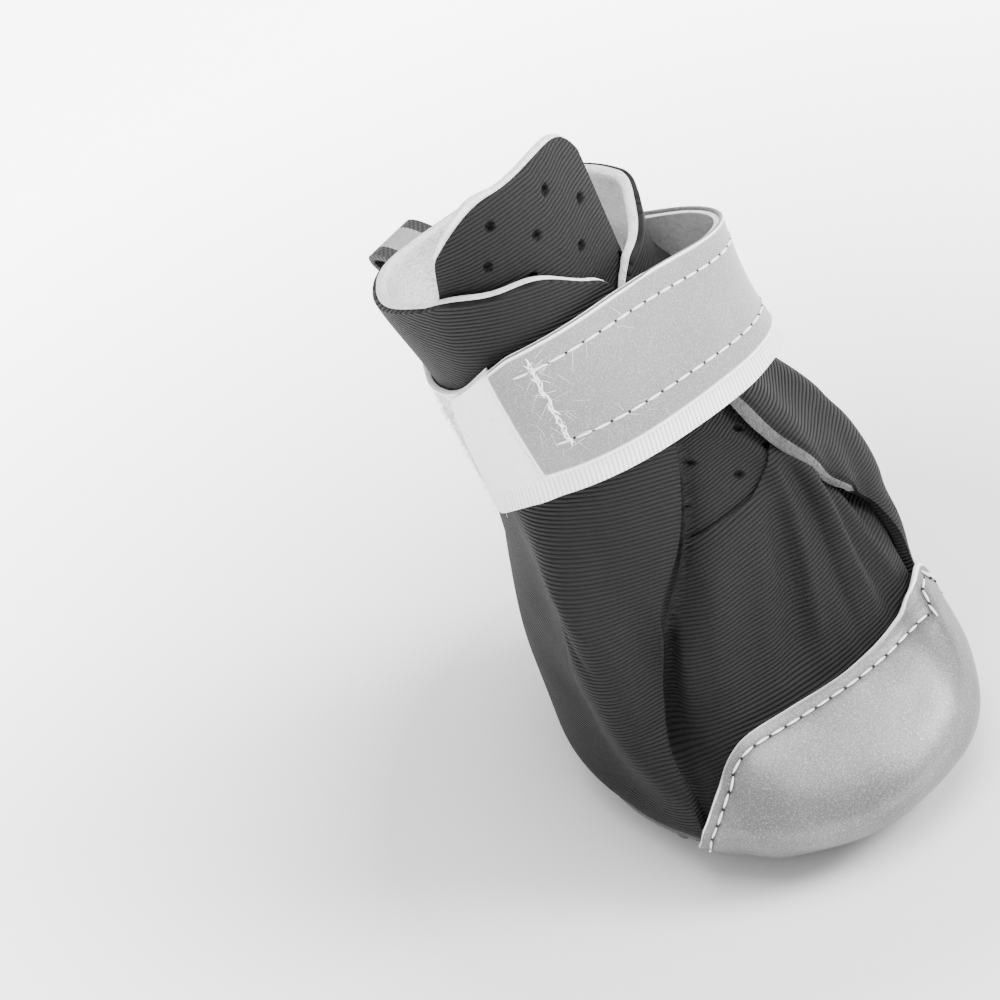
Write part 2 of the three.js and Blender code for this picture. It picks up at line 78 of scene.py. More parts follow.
# Rows run from the rim of the sole to the collar.
# Columns: the row's place up the foot and up the shaft, then the toe, the heel and the side, each from
# the ankle's size, 0, to the sole's, 1, and the puff of the foot.
sections = (
    (0.0, 0.0, 1.0, 1.0, 1.0, 0.0),
    (0.1, 0.0, 1.0, 1.0, 1.0, 0.55),
    (0.26, 0.0, 1.0, 1.0, 1.0, 0.95),
    (0.5, 0.0, 0.9, 1.0, 1.0, 1.0),
    (0.75, 0.0, 0.69, 1.0, 1.0, 1.0),
    (1.0, 0.0, 0.4, 1.0, 1.0, 1.0),
    (1.0, 0.1, 0.29, 0.97, 1.0, 1.0),
    (1.0, 0.22, 0.23, 0.88, 1.0, 0.95),
    (1.0, 0.34, 0.18, 0.7, 0.92, 0.8),
    (1.0, 0.44, 0.15, 0.48, 0.68, 0.5),
    (1.0, 0.53, 0.11, 0.25, 0.36, 0.2),
    (1.0, 0.62, 0.06, 0.08, 0.12, 0.0),
    (1.0, 0.74, 0.015, 0.0, 0.0, 0.0),
    (1.0, 0.88, -0.015, 0.2, 0.05, 0.0),
    (1.0, 1.0, -0.05, 0.6, 0.2, 0.0),
)

# Front edges of the quarters: height as a share of the wall, and the angle on each side.
quarterEdges = {
    "height": (0.0, 0.1, 0.23, 0.37, 0.43, 0.52, 0.62, 0.72, 0.85, 1.0),
    "right": (-60, -56, -46, -37, -34, -23, -14, -7, -3, -3),
    "left": (60, 62, 62, 57, 50, 38, 31, 27, 15, -1),
}

# angle, spread, lift of the collar's rim
rimWaves = ((-70, 44, 10), (-31, 19, 4.5), (80, 40, 2), (168, 35, -3))

# Rolls and folds that the solids have too: (angle, height share) at both ends, rise as a share
# of the wall, spread in degrees.
folds = (
    ((-72, 0.6), (-56, 0.12), 1.1, 17),
    ((-44, 0.44), (-42, 0.1), -0.9, 8),
    ((-14, 0.48), (-24, 0.2), 0.55, 8),
    ((14, 0.5), (2, 0.2), -0.45, 7),
    ((34, 0.6), (18, 0.2), 0.6, 8),
    ((52, 0.45), (38, 0.14), -0.6, 7),
    ((72, 0.62), (68, 0.2), 0.9, 13),
    ((118, 0.66), (104, 0.3), -0.6, 15),
    ((-112, 0.66), (-100, 0.3), -0.5, 15),
    ((-92, 0.3), (-80, 0.03), -1.1, 17),
    ((44, 0.3), (38, 0.06), 0.9, 20),
    ((-50, 0.26), (-54, 0.06), -0.5, 14),
    ((-124, 0.95), (-118, 0.36), -2.4, 38),
    ((150, 0.56), (142, 0.2), 0.5, 15),
    ((-148, 0.56), (-140, 0.2), 0.5, 15),
)


def mix(a, b, share):
    return a + (b - a) * share


def smooth(value):
    t = np.clip(value, 0, 1)
    return t * t * (3 - 2 * t)


def bell(distance):
    return np.exp(-np.square(distance))


def signedPower(value, power):
    return np.sign(value) * np.abs(value) ** power


def wrapDegrees(value):
    return (np.asarray(value) + 180) % 360 - 180


def readCurve(places, values, place):
    places = np.asarray(places, float)
    values = np.asarray(values, float)
    place = np.asarray(place, float)
    last = len(places) - 1
    k = np.clip(np.searchsorted(places, place, side="left") - 1, 0, last - 1)
    before = np.clip(np.arange(last + 1) - 1, 0, last)
    after = np.clip(np.arange(last + 1) + 1, 0, last)
    slopes = (values[after] - values[before]) / (places[after] - places[before])
    step = places[k + 1] - places[k]
    t = np.clip((place - places[k]) / step, 0, 1)
    return (
        values[k] * (2 * t**3 - 3 * t**2 + 1) + slopes[k] * step * (t**3 - 2 * t**2 + t)
        + values[k + 1] * (3 * t**2 - 2 * t**3) + slopes[k + 1] * step * (t**3 - t**2)
    )


sectionTable = np.array(sections)
sectionHeights = (
    wallFoot + sectionTable[:, 0] * (wallForm["instep"] - wallFoot)
    + sectionTable[:, 1] * (wallForm["collar"] - wallForm["instep"])
)


def heightShare(z):
    return (z - wallFoot) / (wallForm["collar"] - wallFoot)


def outlinePoint(angle, front, back, halfWidth, middle, roundness):
    c = signedPower(np.cos(angle), 2 / roundness)
    s = signedPower(np.sin(angle), 2 / roundness)
    reach = np.where(c > 0, front - middle, middle + back)
    return middle + reach * c, halfWidth * s


soleMiddle = soleForm["length"] * (soleForm["widestPlace"] - 0.5)


def soleOutline(angle, inset):
    half = soleForm["length"] / 2 - inset
    return outlinePoint(angle, half, half, soleForm["width"] / 2 - inset, soleMiddle, soleForm["roundness"])


def formPoint(degrees, z):
    degrees, z = np.broadcast_arrays(np.asarray(degrees, float), np.asarray(z, float))
    angle = np.radians(degrees)
    toe, heel, side, puff = (readCurve(sectionHeights, sectionTable[:, k], z) for k in (2, 3, 4, 5))
    f = wallForm
    share = smooth((z - f["instep"]) / (f["collar"] - f["instep"]))
    seat = (1 - np.clip(puff * 2, 0, 1)) * f["seatInset"] * (z < f["instep"])
    blunt = mix(soleForm["roundness"], f["toeRoundness"], np.clip(puff, 0, 1))
    roundness = np.where(np.cos(angle) > 0, blunt, soleForm["roundness"])
    x, y = outlinePoint(
        angle,
        front=mix(f["ankleFront"], soleForm["length"] / 2, toe) + f["toeBulge"] * puff - seat,
        back=mix(f["ankleBack"], soleForm["length"] / 2, heel) + f["heelBulge"] * puff - seat,
        halfWidth=mix(f["ankleWidth"] / 2, soleForm["width"] / 2, side) + f["sideBulge"] * puff - seat,
        middle=mix((f["ankleFront"] - f["ankleBack"]) / 2, soleMiddle, np.clip(side, 0, 1)),
        roundness=mix(f["ankleRoundness"], roundness, np.clip(side, 0, 1)),
    )
    turn = np.radians(f["twist"]) * share
    centre = (f["ankleFront"] - f["ankleBack"]) / 2
    dx = x - centre
    return np.stack([
        centre + dx * np.cos(turn) - y * np.sin(turn),
        dx * np.sin(turn) + y * np.cos(turn) - f["lean"] * share,
        z,
    ], -1)


def foldRise(degrees, z, table):
    share = heightShare(z)
    rise = np.zeros(np.broadcast(degrees, z).shape)
    for (a0, h0), (a1, h1), height, spread in table:
        along = (h0 - share) / (h0 - h1)
        ends = smooth(1.5 - np.abs(along - 0.5) * 2)
        across = wrapDegrees(degrees - mix(a0, a1, along)) / spread
        rise = rise + height * wallForm["thickness"] * ends * bell(across)
    return rise


def normalOf(point, degrees, z):
    nudge = 0.6
    around = point(degrees + nudge, z) - point(degrees - nudge, z)
    up = point(degrees, z + nudge / 3) - point(degrees, z - nudge / 3)
    normal = np.cross(around, up)
    return normal / np.linalg.norm(normal, axis=-1, keepdims=True)


def foldedPoint(degrees, z):
    rise = foldRise(degrees, z, folds)
    return formPoint(degrees, z) + normalOf(formPoint, degrees, z) * rise[..., None]


def wallPoint(degrees, z, out=0.0):
    out = np.asarray(out, float)
    return foldedPoint(degrees, z) + normalOf(foldedPoint, degrees, z) * out[..., None]


def edgeAngle(side, z):
    return readCurve(quarterEdges["height"], quarterEdges[side], np.clip(heightShare(z), 0, 1))


def rimOf(degrees):
    rim = wallForm["collar"] + 0 * np.asarray(degrees, float)
    for angle, spread, lift in rimWaves:
        rim = rim + lift * bell(wrapDegrees(degrees - angle) / spread)
    return rim


# Camera.
# The photograph's angle to the boot: turned, raised and rolled, with the boot right of the middle.
cameraPlace = {
    "turn": 19.53, "raise": 34.9, "roll": -21.17, "away": 700, "right": -46.62, "up": 40.76, "lens": 140.6,
    "sensor": 36, "nearest": 50,
}


def makeCamera(place):
    turn, raised, roll = (math.radians(place[key]) for key in ("turn", "raise", "roll"))
    back = Vector((math.cos(turn) * math.cos(raised), -math.sin(turn) * math.cos(raised), math.sin(raised)))
    levelRight = Vector((math.sin(turn), math.cos(turn), 0))
    levelUp = back.cross(levelRight)
    right = levelRight * math.cos(roll) + levelUp * math.sin(roll)
    up = levelUp * math.cos(roll) - levelRight * math.sin(roll)
    data = bpy.data.cameras.new("camera")
    data.lens = place["lens"]
    data.sensor_width = place["sensor"]
    data.clip_start = place["nearest"] * mm
    camera = bpy.data.objects.new("camera", data)
    camera.location = (back * place["away"] + right * place["right"] + up * place["up"]) * mm
    camera.rotation_euler = Matrix((right, up, back)).transposed().to_euler()
    scene.collection.objects.link(camera)
    scene.camera = camera


makeCamera(cameraPlace)
print("camera placed")


# Shader tools.
class Wire:
    def __init__(self, shader, socket):
        self.shader = shader
        self.socket = socket

    def math(self, operation, *others):
        return self.shader.node("ShaderNodeMath", {"operation": operation}, dict(enumerate((self, *others))))

    def __add__(self, other):
        return self.math("ADD", other)

    def __radd__(self, other):
        return self.math("ADD", other)

    def __sub__(self, other):
        return self.math("SUBTRACT", other)

    def __rsub__(self, other):
        return self.shader.number(other).math("SUBTRACT", self)

    def __mul__(self, other):
        return self.math("MULTIPLY", other)

    def __rmul__(self, other):
        return self.math("MULTIPLY", other)

    def __truediv__(self, other):
        return self.math("DIVIDE", other)

    def __pow__(self, other):
        return self.math("POWER", other)


class Shader:
    def __init__(self, name):
        self.material = bpy.data.materials.new(name)
        self.material.use_nodes = True
        self.tree = self.material.node_tree
        self.tree.nodes.clear()
        self.output = self.tree.nodes.new("ShaderNodeOutputMaterial")
        self.surface = self.tree.nodes.new("ShaderNodeBsdfPrincipled")
        self.tree.links.new(self.surface.outputs[0], self.output.inputs[0])

    def put(self, node, key, value):
        if isinstance(value, Wire):
            self.tree.links.new(value.socket, node.inputs[key])
        else:
            node.inputs[key].default_value = value

    def node(self, kind, settings=None, inputs=None, output=0):
        node = self.tree.nodes.new(kind)
        for key, value in (settings or {}).items():
            setattr(node, key, value)
        for key, value in (inputs or {}).items():
            self.put(node, key, value)
        return Wire(self, node.outputs[output])

    def number(self, value):
        node = self.tree.nodes.new("ShaderNodeValue")
        node.outputs[0].default_value = value
        return Wire(self, node.outputs[0])

    def place(self):
        return self.node("ShaderNodeTexCoord", output="Object")

    def uv(self):
        return self.node("ShaderNodeUVMap", {"uv_map": "flat"})

    def split(self, vector):
        node = self.tree.nodes.new("ShaderNodeSeparateXYZ")
        self.tree.links.new(vector.socket, node.inputs[0])
        return [Wire(self, node.outputs[k]) for k in range(3)]

    def noise(self, vector, scale, detail=3.0, roughness=0.55):
        inputs = {"Vector": vector, "Scale": scale, "Detail": detail, "Roughness": roughness}
        return self.node("ShaderNodeTexNoise", None, inputs)

    def speckle(self, vector, scale):
        inputs = {"Vector": vector, "Scale": scale}
        return self.node("ShaderNodeTexVoronoi", {"feature": "F1"}, inputs, "Color")

    def stretch(self, vector, factors):
        return self.node("ShaderNodeVectorMath", {"operation": "MULTIPLY"}, {0: vector, 1: factors})

    def attribute(self, name):
        return self.node("ShaderNodeAttribute", {"attribute_name": name}, None, "Fac")

    def ramp(self, value, low, high):
        inputs = {"Value": value, "From Min": low, "From Max": high}
        return self.node("ShaderNodeMapRange", {"clamp": True}, inputs)

    def blend(self, share, first, second):
        node = self.tree.nodes.new("ShaderNodeMix")
        node.data_type = "RGBA"
        self.put(node, 0, share)
        for key, value in ((6, first), (7, second)):
            self.put(node, key, value if isinstance(value, Wire) else grey(value))
        return Wire(self, node.outputs[2])

    def bump(self, height, distance):
        inputs = {"Height": height, "Distance": distance, "Strength": 1.0}
        return self.node("ShaderNodeBump", None, inputs)

    def finish(self, **sockets):
        for key, value in sockets.items():
            self.put(self.surface, key.replace("_", " "), value)
        return self.material


def grey(value):
    return (value, value, value, 1.0)


# Materials.
ribPitch = 0.74
selvagePitch = 0.8
selvageStart = 9.6


def ribbedCloth(name, dark, light, holes=False):
    s = Shader(name)
    _, v, _ = s.split(s.uv())
    place = s.place()
    wobble = s.noise(s.stretch(s.uv(), (0.05, 0.12, 1.0)), 1.0, 2.0) - 0.5
    turns = (v + wobble * 0.5) * (1 / ribPitch)
    wave = (turns * math.pi).math("SINE").math("ABSOLUTE")
    rib = wave ** 0.7
    fine = s.noise(s.stretch(s.uv(), (1.0, 3.0, 1.0)), 6.0, 2.0)
    patches = s.noise(place, 60.0, 2.0)
    # Painted shade: the grooves between the ribs are darker than the ribs.
    shade = s.blend(s.ramp(rib, 0.25, 0.8), dark, light)
    shade = s.blend(fine * 0.3, shade, light * 1.5)
    shade = s.blend(patches * 0.35, shade, light * 0.6)
    lint = s.ramp(s.noise(place, 1300.0, 2.0, 0.9), 0.74, 0.8)
    shade = s.blend(lint * 0.5, shade, light * 3.5)
    height = rib + fine * 0.18
    if holes:
        # Painted shade: the holes are painted nearly black, as shade inside them.
        hole = s.attribute("hole")
        shade = s.blend(hole, shade, 0.003)
        height = height * (1.0 - hole)
    return s.finish(
        Base_Color=shade, Roughness=0.72, Normal=s.bump(height, 0.00042), Specular_IOR_Level=0.16,
    )


def feltCloth(name, light=0.80, dark=0.42):
    s = Shader(name)
    place = s.place()
    clumps = s.noise(place, 260.0, 4.0, 0.7)
    fine = s.noise(place, 1500.0, 2.0, 0.7)
    pits = s.ramp(s.noise(place, 700.0, 3.0, 0.8), 0.52, 0.72)
    shade = s.blend(s.ramp(clumps, 0.35, 0.62), light, light * 0.86)
    shade = s.blend(pits * 0.55, shade, dark)
    height = clumps + fine * 0.8
    return s.finish(
        Base_Color=shade, Roughness=0.95, Normal=s.bump(height, 0.0006), Specular_IOR_Level=0.1,
        Sheen_Weight=0.3, Sheen_Roughness=0.5,
    )


def silverFilm(name, light, dark, glitter, metal, roughness):
    s = Shader(name)
    place = s.place()
    soft = s.noise(place, 55.0, 2.0)
    grain = s.noise(place, 2600.0, 3.0, 0.7)
    fleck = s.split(s.speckle(place, 7500.0))[0]
    shade = s.blend(s.ramp(soft, 0.3, 0.7), dark, light)
    shade = s.blend(s.ramp(grain, 0.35, 0.75) * 0.4, shade, light * 1.25)
    shade = s.blend(s.ramp(fleck, 0.72, 1.0) * glitter, shade, 0.95)
    shade = s.blend(s.ramp(fleck, 0.25, 0.0) * glitter, shade, dark * 0.6)
    # Painted shade: the film darkens along the groove of the stitch line.
    shade = s.blend(s.attribute("grooveShade") * 0.55, shade, dark * 0.3)
    shade = s.blend(s.attribute("edge"), shade, 0.95)
    height = grain + fleck * 0.35
    return s.finish(
        Base_Color=shade, Roughness=roughness, Metallic=metal, Normal=s.bump(height, 0.00006),
        Specular_IOR_Level=0.5,
    )


def tapeCloth(name, light):
    s = Shader(name)
    u, v, _ = s.split(s.uv())
    place = s.place()
    pile = s.noise(place, 900.0, 4.0, 0.8)
    pits = s.ramp(s.noise(place, 520.0, 3.0, 0.8), 0.56, 0.74)
    edge = s.ramp(0.0 - v, selvageStart, selvageStart + 0.4)
    # Painted shade: the selvage is darker in the grooves between its ribs.
    rib = (u * (math.pi / selvagePitch)).math("SINE").math("ABSOLUTE")
    ribShade = s.blend(s.ramp(rib, 0.1, 0.7), light * 0.8, light)
    shade = s.blend(pits * 0.5, light, light * 0.62)
    shade = s.blend(edge, shade, ribShade)
    height = s.ramp(pile, 0.2, 0.8) * (1.0 - edge) * 1.6 + rib * edge
    return s.finish(
        Base_Color=shade, Roughness=0.85, Normal=s.bump(height, 0.0003), Specular_IOR_Level=0.2,
        Sheen_Weight=0.25, Sheen_Roughness=0.5,
    )


def stripeTape(name, stripeHalf):
    s = Shader(name)
    u, v, _ = s.split(s.uv())
    place = s.place()
    across = u.math("ABSOLUTE")
    stripe = 1.0 - s.ramp(across, stripeHalf, stripeHalf + 0.12)
    outside = 1.0 - s.ramp(across, stripeHalf + 0.35, stripeHalf + 0.5)
    thread = s.ramp(across, stripeHalf - 0.1, stripeHalf) * outside
    weave = (v * (math.pi / 0.5)).math("SINE") * (u * (math.pi / 0.6)).math("SINE")
    fine = s.noise(place, 2200.0, 2.0)
    dark = s.blend(s.ramp(weave, -0.6, 0.8), 0.016, 0.044)
    pale = s.blend(fine, 0.20, 0.34)
    shade = s.blend(stripe, dark, pale)
    shade = s.blend(thread * 0.5, shade, 0.55)
    height = weave * (1.0 - stripe) + fine * 0.4
    return s.finish(Base_Color=shade, Roughness=0.6, Normal=s.bump(height, 0.00012), Specular_IOR_Level=0.4)


def mouldedRubber(name):
    s = Shader(name)
    place = s.place()
    soft = s.noise(place, 90.0, 3.0)
    grain = s.noise(place, 2400.0, 3.0)
    shade = s.blend(soft, 0.038, 0.062)
    dust = s.ramp(s.noise(place, 400.0, 4.0, 0.7), 0.55, 0.8)
    shade = s.blend(dust * 0.25, shade, 0.11)
    return s.finish(
        Base_Color=shade, Roughness=s.ramp(grain, 0.0, 1.0) * 0.2 + 0.38, Normal=s.bump(grain, 0.00003),
        Specular_IOR_Level=0.5,
    )


def threadCord(name, light):
    s = Shader(name)
    place = s.place()
    twist = s.noise(place, 3000.0, 2.0)
    shade = s.blend(twist, light * 0.8, light * 1.1)
    return s.finish(Base_Color=shade, Roughness=0.7, Normal=s.bump(twist, 0.00008), Specular_IOR_Level=0.3)


# The floor glows as painted light: its emission rises away from the boot, whitening the floor far off and
# leaving painted shadow near the boot.
def floorPaint(name):
    s = Shader(name)
    place = s.place()
    soft = s.noise(place, 3.0, 2.0)
    x, y, _ = s.split(place)
    away = (x * x + y * y).math("SQRT")
    paintedGlow = s.ramp(away, 0.07, 0.3)
    return s.finish(
        Base_Color=s.blend(soft, 0.88, 0.9), Roughness=0.6, Specular_IOR_Level=0.15,
        Emission_Color=s.blend(paintedGlow, 0.0, 1.0), Emission_Strength=6.0,
    )


finishes = {
    "ribbed": ribbedCloth("ribbedCloth", 0.0026, 0.0135),
    "tongue": ribbedCloth("tongueCloth", 0.0024, 0.0125, holes=True),
    "felt": feltCloth("felt"),
    # A dark copy of the felt: painted shade for the felt at the slit's edge.
    "slitShadeFelt": feltCloth("shadedFelt", 0.085, 0.01),
    "strap": silverFilm("strapFilm", 0.17, 0.13, 0.2, 0.5, 0.36),
    "cap": silverFilm("capFilm", 0.19, 0.09, 0.2, 0.6, 0.34),
    "cut": silverFilm("cutEdge", 0.9, 0.8, 0.05, 0.0, 0.42),
    "tape": tapeCloth("whiteTape", 0.95),
    "heel": stripeTape("heelTape", 2.9),
    "loop": stripeTape("loopTape", 2.4),
    "rubber": mouldedRubber("rubber"),
    "thread": threadCord("thread", 0.9),
    # Dark thread for the heel strip's stitches, and painted shade in the stitch holes.
    "darkThreadAndHoleShade": threadCord("darkThreadAndHoleShade", 0.012),
    "lint": threadCord("lint", 0.01),
    "fuzz": threadCord("fuzz", 0.75),
}
print("materials made")


# Mesh tools.
sharpAngle = 50


def addObject(name, vertices, faces, materials, faceMaterials=None, uv=None, values=None):
    mesh = bpy.data.meshes.new(name)
    mesh.from_pydata((np.asarray(vertices) * mm).tolist(), [], faces)
    for material in materials:
        mesh.materials.append(material)
    mesh.polygons.foreach_set("use_smooth", [True] * len(mesh.polygons))
    if faceMaterials is not None:
        mesh.polygons.foreach_set("material_index", faceMaterials)
    loops = np.empty(len(mesh.loops), dtype=np.int32)
    mesh.loops.foreach_get("vertex_index", loops)
    if uv is not None:
        layer = mesh.uv_layers.new(name="flat")
        layer.data.foreach_set("uv", np.asarray(uv, np.float32)[loops].ravel())
    for key, column in (values or {}).items():
        attribute = mesh.attributes.new(key, "FLOAT", "POINT")
        attribute.data.foreach_set("value", np.asarray(column, np.float32))
    mesh.update()
    mesh.set_sharp_from_angle(angle=math.radians(sharpAngle))
    thing = bpy.data.objects.new(name, mesh)
    scene.collection.objects.link(thing)
    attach(thing, root)
    return thing


# A closed sheet between two grids of points, outer[i, j] and inner[i, j], with i round the boot and
# j up. rim: (share of the thickness, bulge) of the rows that round its cut edge. cut: the material of
# that edge beyond its first rows. swell: how much it bulges. Both are grids like the points.
def closedSheet(
    name, outer, inner, materials, rim, uv, darkRows=0, values=None, cut=None, swell=None,
):
    n, m = outer.shape[:2]
    size = n * m
    number = np.arange(size).reshape(n, m)
    edge = (
        [(i, 0) for i in range(n)] + [(n - 1, j) for j in range(1, m)]
        + [(i, m - 1) for i in range(n - 2, -1, -1)] + [(0, j) for j in range(m - 2, 0, -1)]
    )
    ei, ej = np.array(edge).T
    ni, nj = np.clip(ei, 1, n - 2), np.clip(ej, 1, m - 2)
    away = outer[ei, ej] - outer[ni, nj]
    away = away / np.maximum(np.linalg.norm(away, axis=-1, keepdims=True), 1e-9)
    if swell is not None:
        away = away * swell[ei, ej][:, None]
    edgeKind = np.full(len(ei), min(1, len(materials) - 1)) if cut is None else cut[ei, ej]
    rows = [number[ei, ej]]
    points = [outer.reshape(-1, 3), inner.reshape(-1, 3)]
    for k, (share, bulge) in enumerate(rim):
        points.append(mix(outer[ei, ej], inner[ei, ej], share) + away * bulge)
        rows.append(2 * size + k * len(edge) + np.arange(len(edge)))
    rows.append(size + number[ei, ej])
    a, b, c, d = number[:-1, :-1], number[1:, :-1], number[1:, 1:], number[:-1, 1:]
    faces = [np.stack([a, b, c, d], -1).reshape(-1, 4), np.stack([a, d, c, b], -1).reshape(-1, 4) + size]
    kinds = [np.zeros(len(faces[0]), int), np.full(len(faces[1]), min(1, len(materials) - 1))]
    for k in range(len(rows) - 1):
        first, second = rows[k], rows[k + 1]
        strip = np.stack([first, second, np.roll(second, -1), np.roll(first, -1)], -1)
        faces.append(strip)
        kinds.append(np.zeros(len(strip), int) if k < darkRows else edgeKind)
    flat = uv.reshape(-1, 2)
    allUv = np.concatenate([flat, flat] + [uv[ei, ej]] * len(rim))
    rest = np.zeros(size + len(rim) * len(edge))
    allValues = {key: np.concatenate([column.ravel(), rest]) for key, column in (values or {}).items()}
    return addObject(
        name, np.concatenate(points), np.concatenate(faces).tolist(), materials,
        np.concatenate(kinds).tolist(), allUv, allValues,
    )


# A closed solid of rings round the sole: (inset from its outline, height or a function of x and y).
def ringSolid(name, rows, columns, finish):
    angles = np.linspace(0, 2 * math.pi, columns, endpoint=False)
    rings = []
    for inset, height in rows:
        x, y = soleOutline(angles, inset)
        rings.append(np.stack([x, y, height(x, y) if callable(height) else 0 * x + height], -1))
    number = np.arange(len(rings) * columns).reshape(len(rings), columns)
    faces = []
    for a, b in zip(number[:-1], number[1:]):
        faces.extend(np.stack([a, np.roll(a, -1), np.roll(b, -1), b], -1).tolist())
    faces.append(number[0][::-1].tolist())
    faces.append(number[-1].tolist())
    return addObject(name, np.concatenate(rings), faces, [finishes[finish]])


def lengthAlong(points, axis):
    step = np.linalg.norm(np.diff(points, axis=axis), axis=-1)
    start = np.zeros_like(np.take(step, [0], axis=axis))
    return np.concatenate([start, np.cumsum(step, axis=axis)], axis=axis)


# Repeated small pieces.
# Points with two directions each. Geometry nodes set one small shape on every point.
def pointCloud(name, places, along, up, sizes=None):
    sizes = np.ones(len(places)) if sizes is None else sizes
    mesh = bpy.data.meshes.new(name)
    mesh.from_pydata((np.asarray(places) * mm).tolist(), [], [])
    for key, column in (("along", along), ("up", up)):
        attribute = mesh.attributes.new(key, "FLOAT_VECTOR", "POINT")
        attribute.data.foreach_set("vector", np.asarray(column, np.float32).ravel())
    attribute = mesh.attributes.new("size", "FLOAT", "POINT")
    attribute.data.foreach_set("value", np.asarray(sizes, np.float32))
    thing = bpy.data.objects.new(name, mesh)
    scene.collection.objects.link(thing)
    return thing


class Repeat:
    def __init__(self, name):
        self.tree = bpy.data.node_groups.new(name, "GeometryNodeTree")
        self.inputs = {}
        self.socket("Points", "NodeSocketGeometry")
        self.tree.interface.new_socket(name="Pieces", in_out="OUTPUT", socket_type="NodeSocketGeometry")
        self.source = self.tree.nodes.new("NodeGroupInput")
        self.target = self.tree.nodes.new("NodeGroupOutput")

    def socket(self, name, kind):
        made = self.tree.interface.new_socket(name=name, in_out="INPUT", socket_type=kind)
        self.inputs[name] = made.identifier

    def node(self, kind, settings=None, inputs=None):
        node = self.tree.nodes.new(kind)
        for key, value in (settings or {}).items():
            setattr(node, key, value)
        for key, value in (inputs or {}).items():
            if hasattr(value, "is_linked"):
                self.tree.links.new(value, node.inputs[key])
            else:
                node.inputs[key].default_value = value
        return node

    def named(self, name, kind):
        node = self.node("GeometryNodeInputNamedAttribute", {"data_type": kind}, {"Name": name})
        return node.outputs["Attribute"]

    def given(self, name):
        return self.source.outputs[name]

    def scaled(self, shape, size):
        inputs = {"Geometry": shape.outputs[0], "Scale": size.outputs[0]}
        return self.node("GeometryNodeTransform", None, inputs).outputs[0]

    def set(self, shape):
        first = self.node("FunctionNodeAlignRotationToVector", {"axis": "X"}, {
            "Vector": self.named("along", "FLOAT_VECTOR"),
        })
        second = self.node("FunctionNodeAlignRotationToVector", {"axis": "Z", "pivot_axis": "X"}, {
            "Rotation": first.outputs[0], "Vector": self.named("up", "FLOAT_VECTOR"),
        })
        placed = self.node("GeometryNodeInstanceOnPoints", None, {
            "Points": self.given("Points"), "Instance": shape, "Rotation": second.outputs[0],
            "Scale": self.named("size", "FLOAT"),
        })
        real = self.node("GeometryNodeRealizeInstances", None, {"Geometry": placed.outputs[0]})
        smoothed = self.node("GeometryNodeSetShadeSmooth", None, {"Geometry": real.outputs[0]})
        painted = self.node("GeometryNodeSetMaterial", None, {
            "Geometry": smoothed.outputs[0], "Material": self.given("Finish"),
        })
        self.tree.links.new(painted.outputs[0], self.target.inputs[0])


def makeStitchNodes():
    repeat = Repeat("stitches")
    for name in ("Length", "Width", "Height"):
        repeat.socket(name, "NodeSocketFloat")
    repeat.socket("Finish", "NodeSocketMaterial")
    grain = repeat.node("GeometryNodeMeshUVSphere", None, {"Segments": 8, "Rings": 7, "Radius": 0.5})
    size = repeat.node("ShaderNodeCombineXYZ", None, {
        "X": repeat.given("Length"), "Y": repeat.given("Width"), "Z": repeat.given("Height"),
    })
    turned = repeat.node("GeometryNodeTransform", None, {
        "Geometry": grain.outputs[0], "Rotation": (0, math.pi / 2, 0),
    })
    repeat.set(repeat.scaled(turned, size))
    return repeat


def makeStudNodes():
    repeat = Repeat("studs")
    for name in ("Radius", "Height", "Cell", "Ridge"):
        repeat.socket(name, "NodeSocketFloat")
    repeat.socket("Finish", "NodeSocketMaterial")
    ball = repeat.node("GeometryNodeMeshUVSphere", None, {"Segments": 14, "Rings": 9, "Radius": 1.0})
    size = repeat.node("ShaderNodeCombineXYZ", None, {
        "X": repeat.given("Radius"), "Y": repeat.given("Radius"), "Z": repeat.given("Height"),
    })
    dome = repeat.scaled(ball, size)
    ring = repeat.node("GeometryNodeCurvePrimitiveCircle", {"mode": "RADIUS"}, {
        "Resolution": 6, "Radius": repeat.given("Cell"),
    })
    wire = repeat.node("GeometryNodeCurvePrimitiveCircle", {"mode": "RADIUS"}, {
        "Resolution": 6, "Radius": repeat.given("Ridge"),
    })
    cell = repeat.node("GeometryNodeCurveToMesh", None, {
        "Curve": ring.outputs[0], "Profile Curve": wire.outputs[0],
    })
    both = repeat.node("GeometryNodeJoinGeometry")
    repeat.tree.links.new(dome, both.inputs[0])
    repeat.tree.links.new(cell.outputs[0], both.inputs[0])
    repeat.set(both.outputs[0])
    return repeat


def makeFibreNodes():
    repeat = Repeat("fibres")
    for name in ("Length", "Radius"):
        repeat.socket(name, "NodeSocketFloat")
    repeat.socket("Finish", "NodeSocketMaterial")
    spike = repeat.node("GeometryNodeMeshCone", None, {
        "Vertices": 5, "Side Segments": 3, "Radius Top": 0.15, "Radius Bottom": 1.0, "Depth": 1.0,
    })
    size = repeat.node("ShaderNodeCombineXYZ", None, {
        "X": repeat.given("Radius"), "Y": repeat.given("Radius"), "Z": repeat.given("Length"),
    })
    repeat.set(repeat.scaled(spike, size))
    return repeat


repeats = {"stitch": makeStitchNodes(), "stud": makeStudNodes(), "fibre": makeFibreNodes()}


def runRepeat(kind, points, settings):
    repeat = repeats[kind]
    modifier = points.modifiers.new(kind, "NODES")
    modifier.node_group = repeat.tree
    for name, value in settings.items():
        modifier[repeat.inputs[name]] = value
    graph = bpy.context.evaluated_depsgraph_get()
    made = points.evaluated_get(graph)
    mesh = bpy.data.meshes.new_from_object(made, preserve_all_data_layers=True, depsgraph=graph)
    points.modifiers.clear()
    points.data = mesh
    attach(points, root)


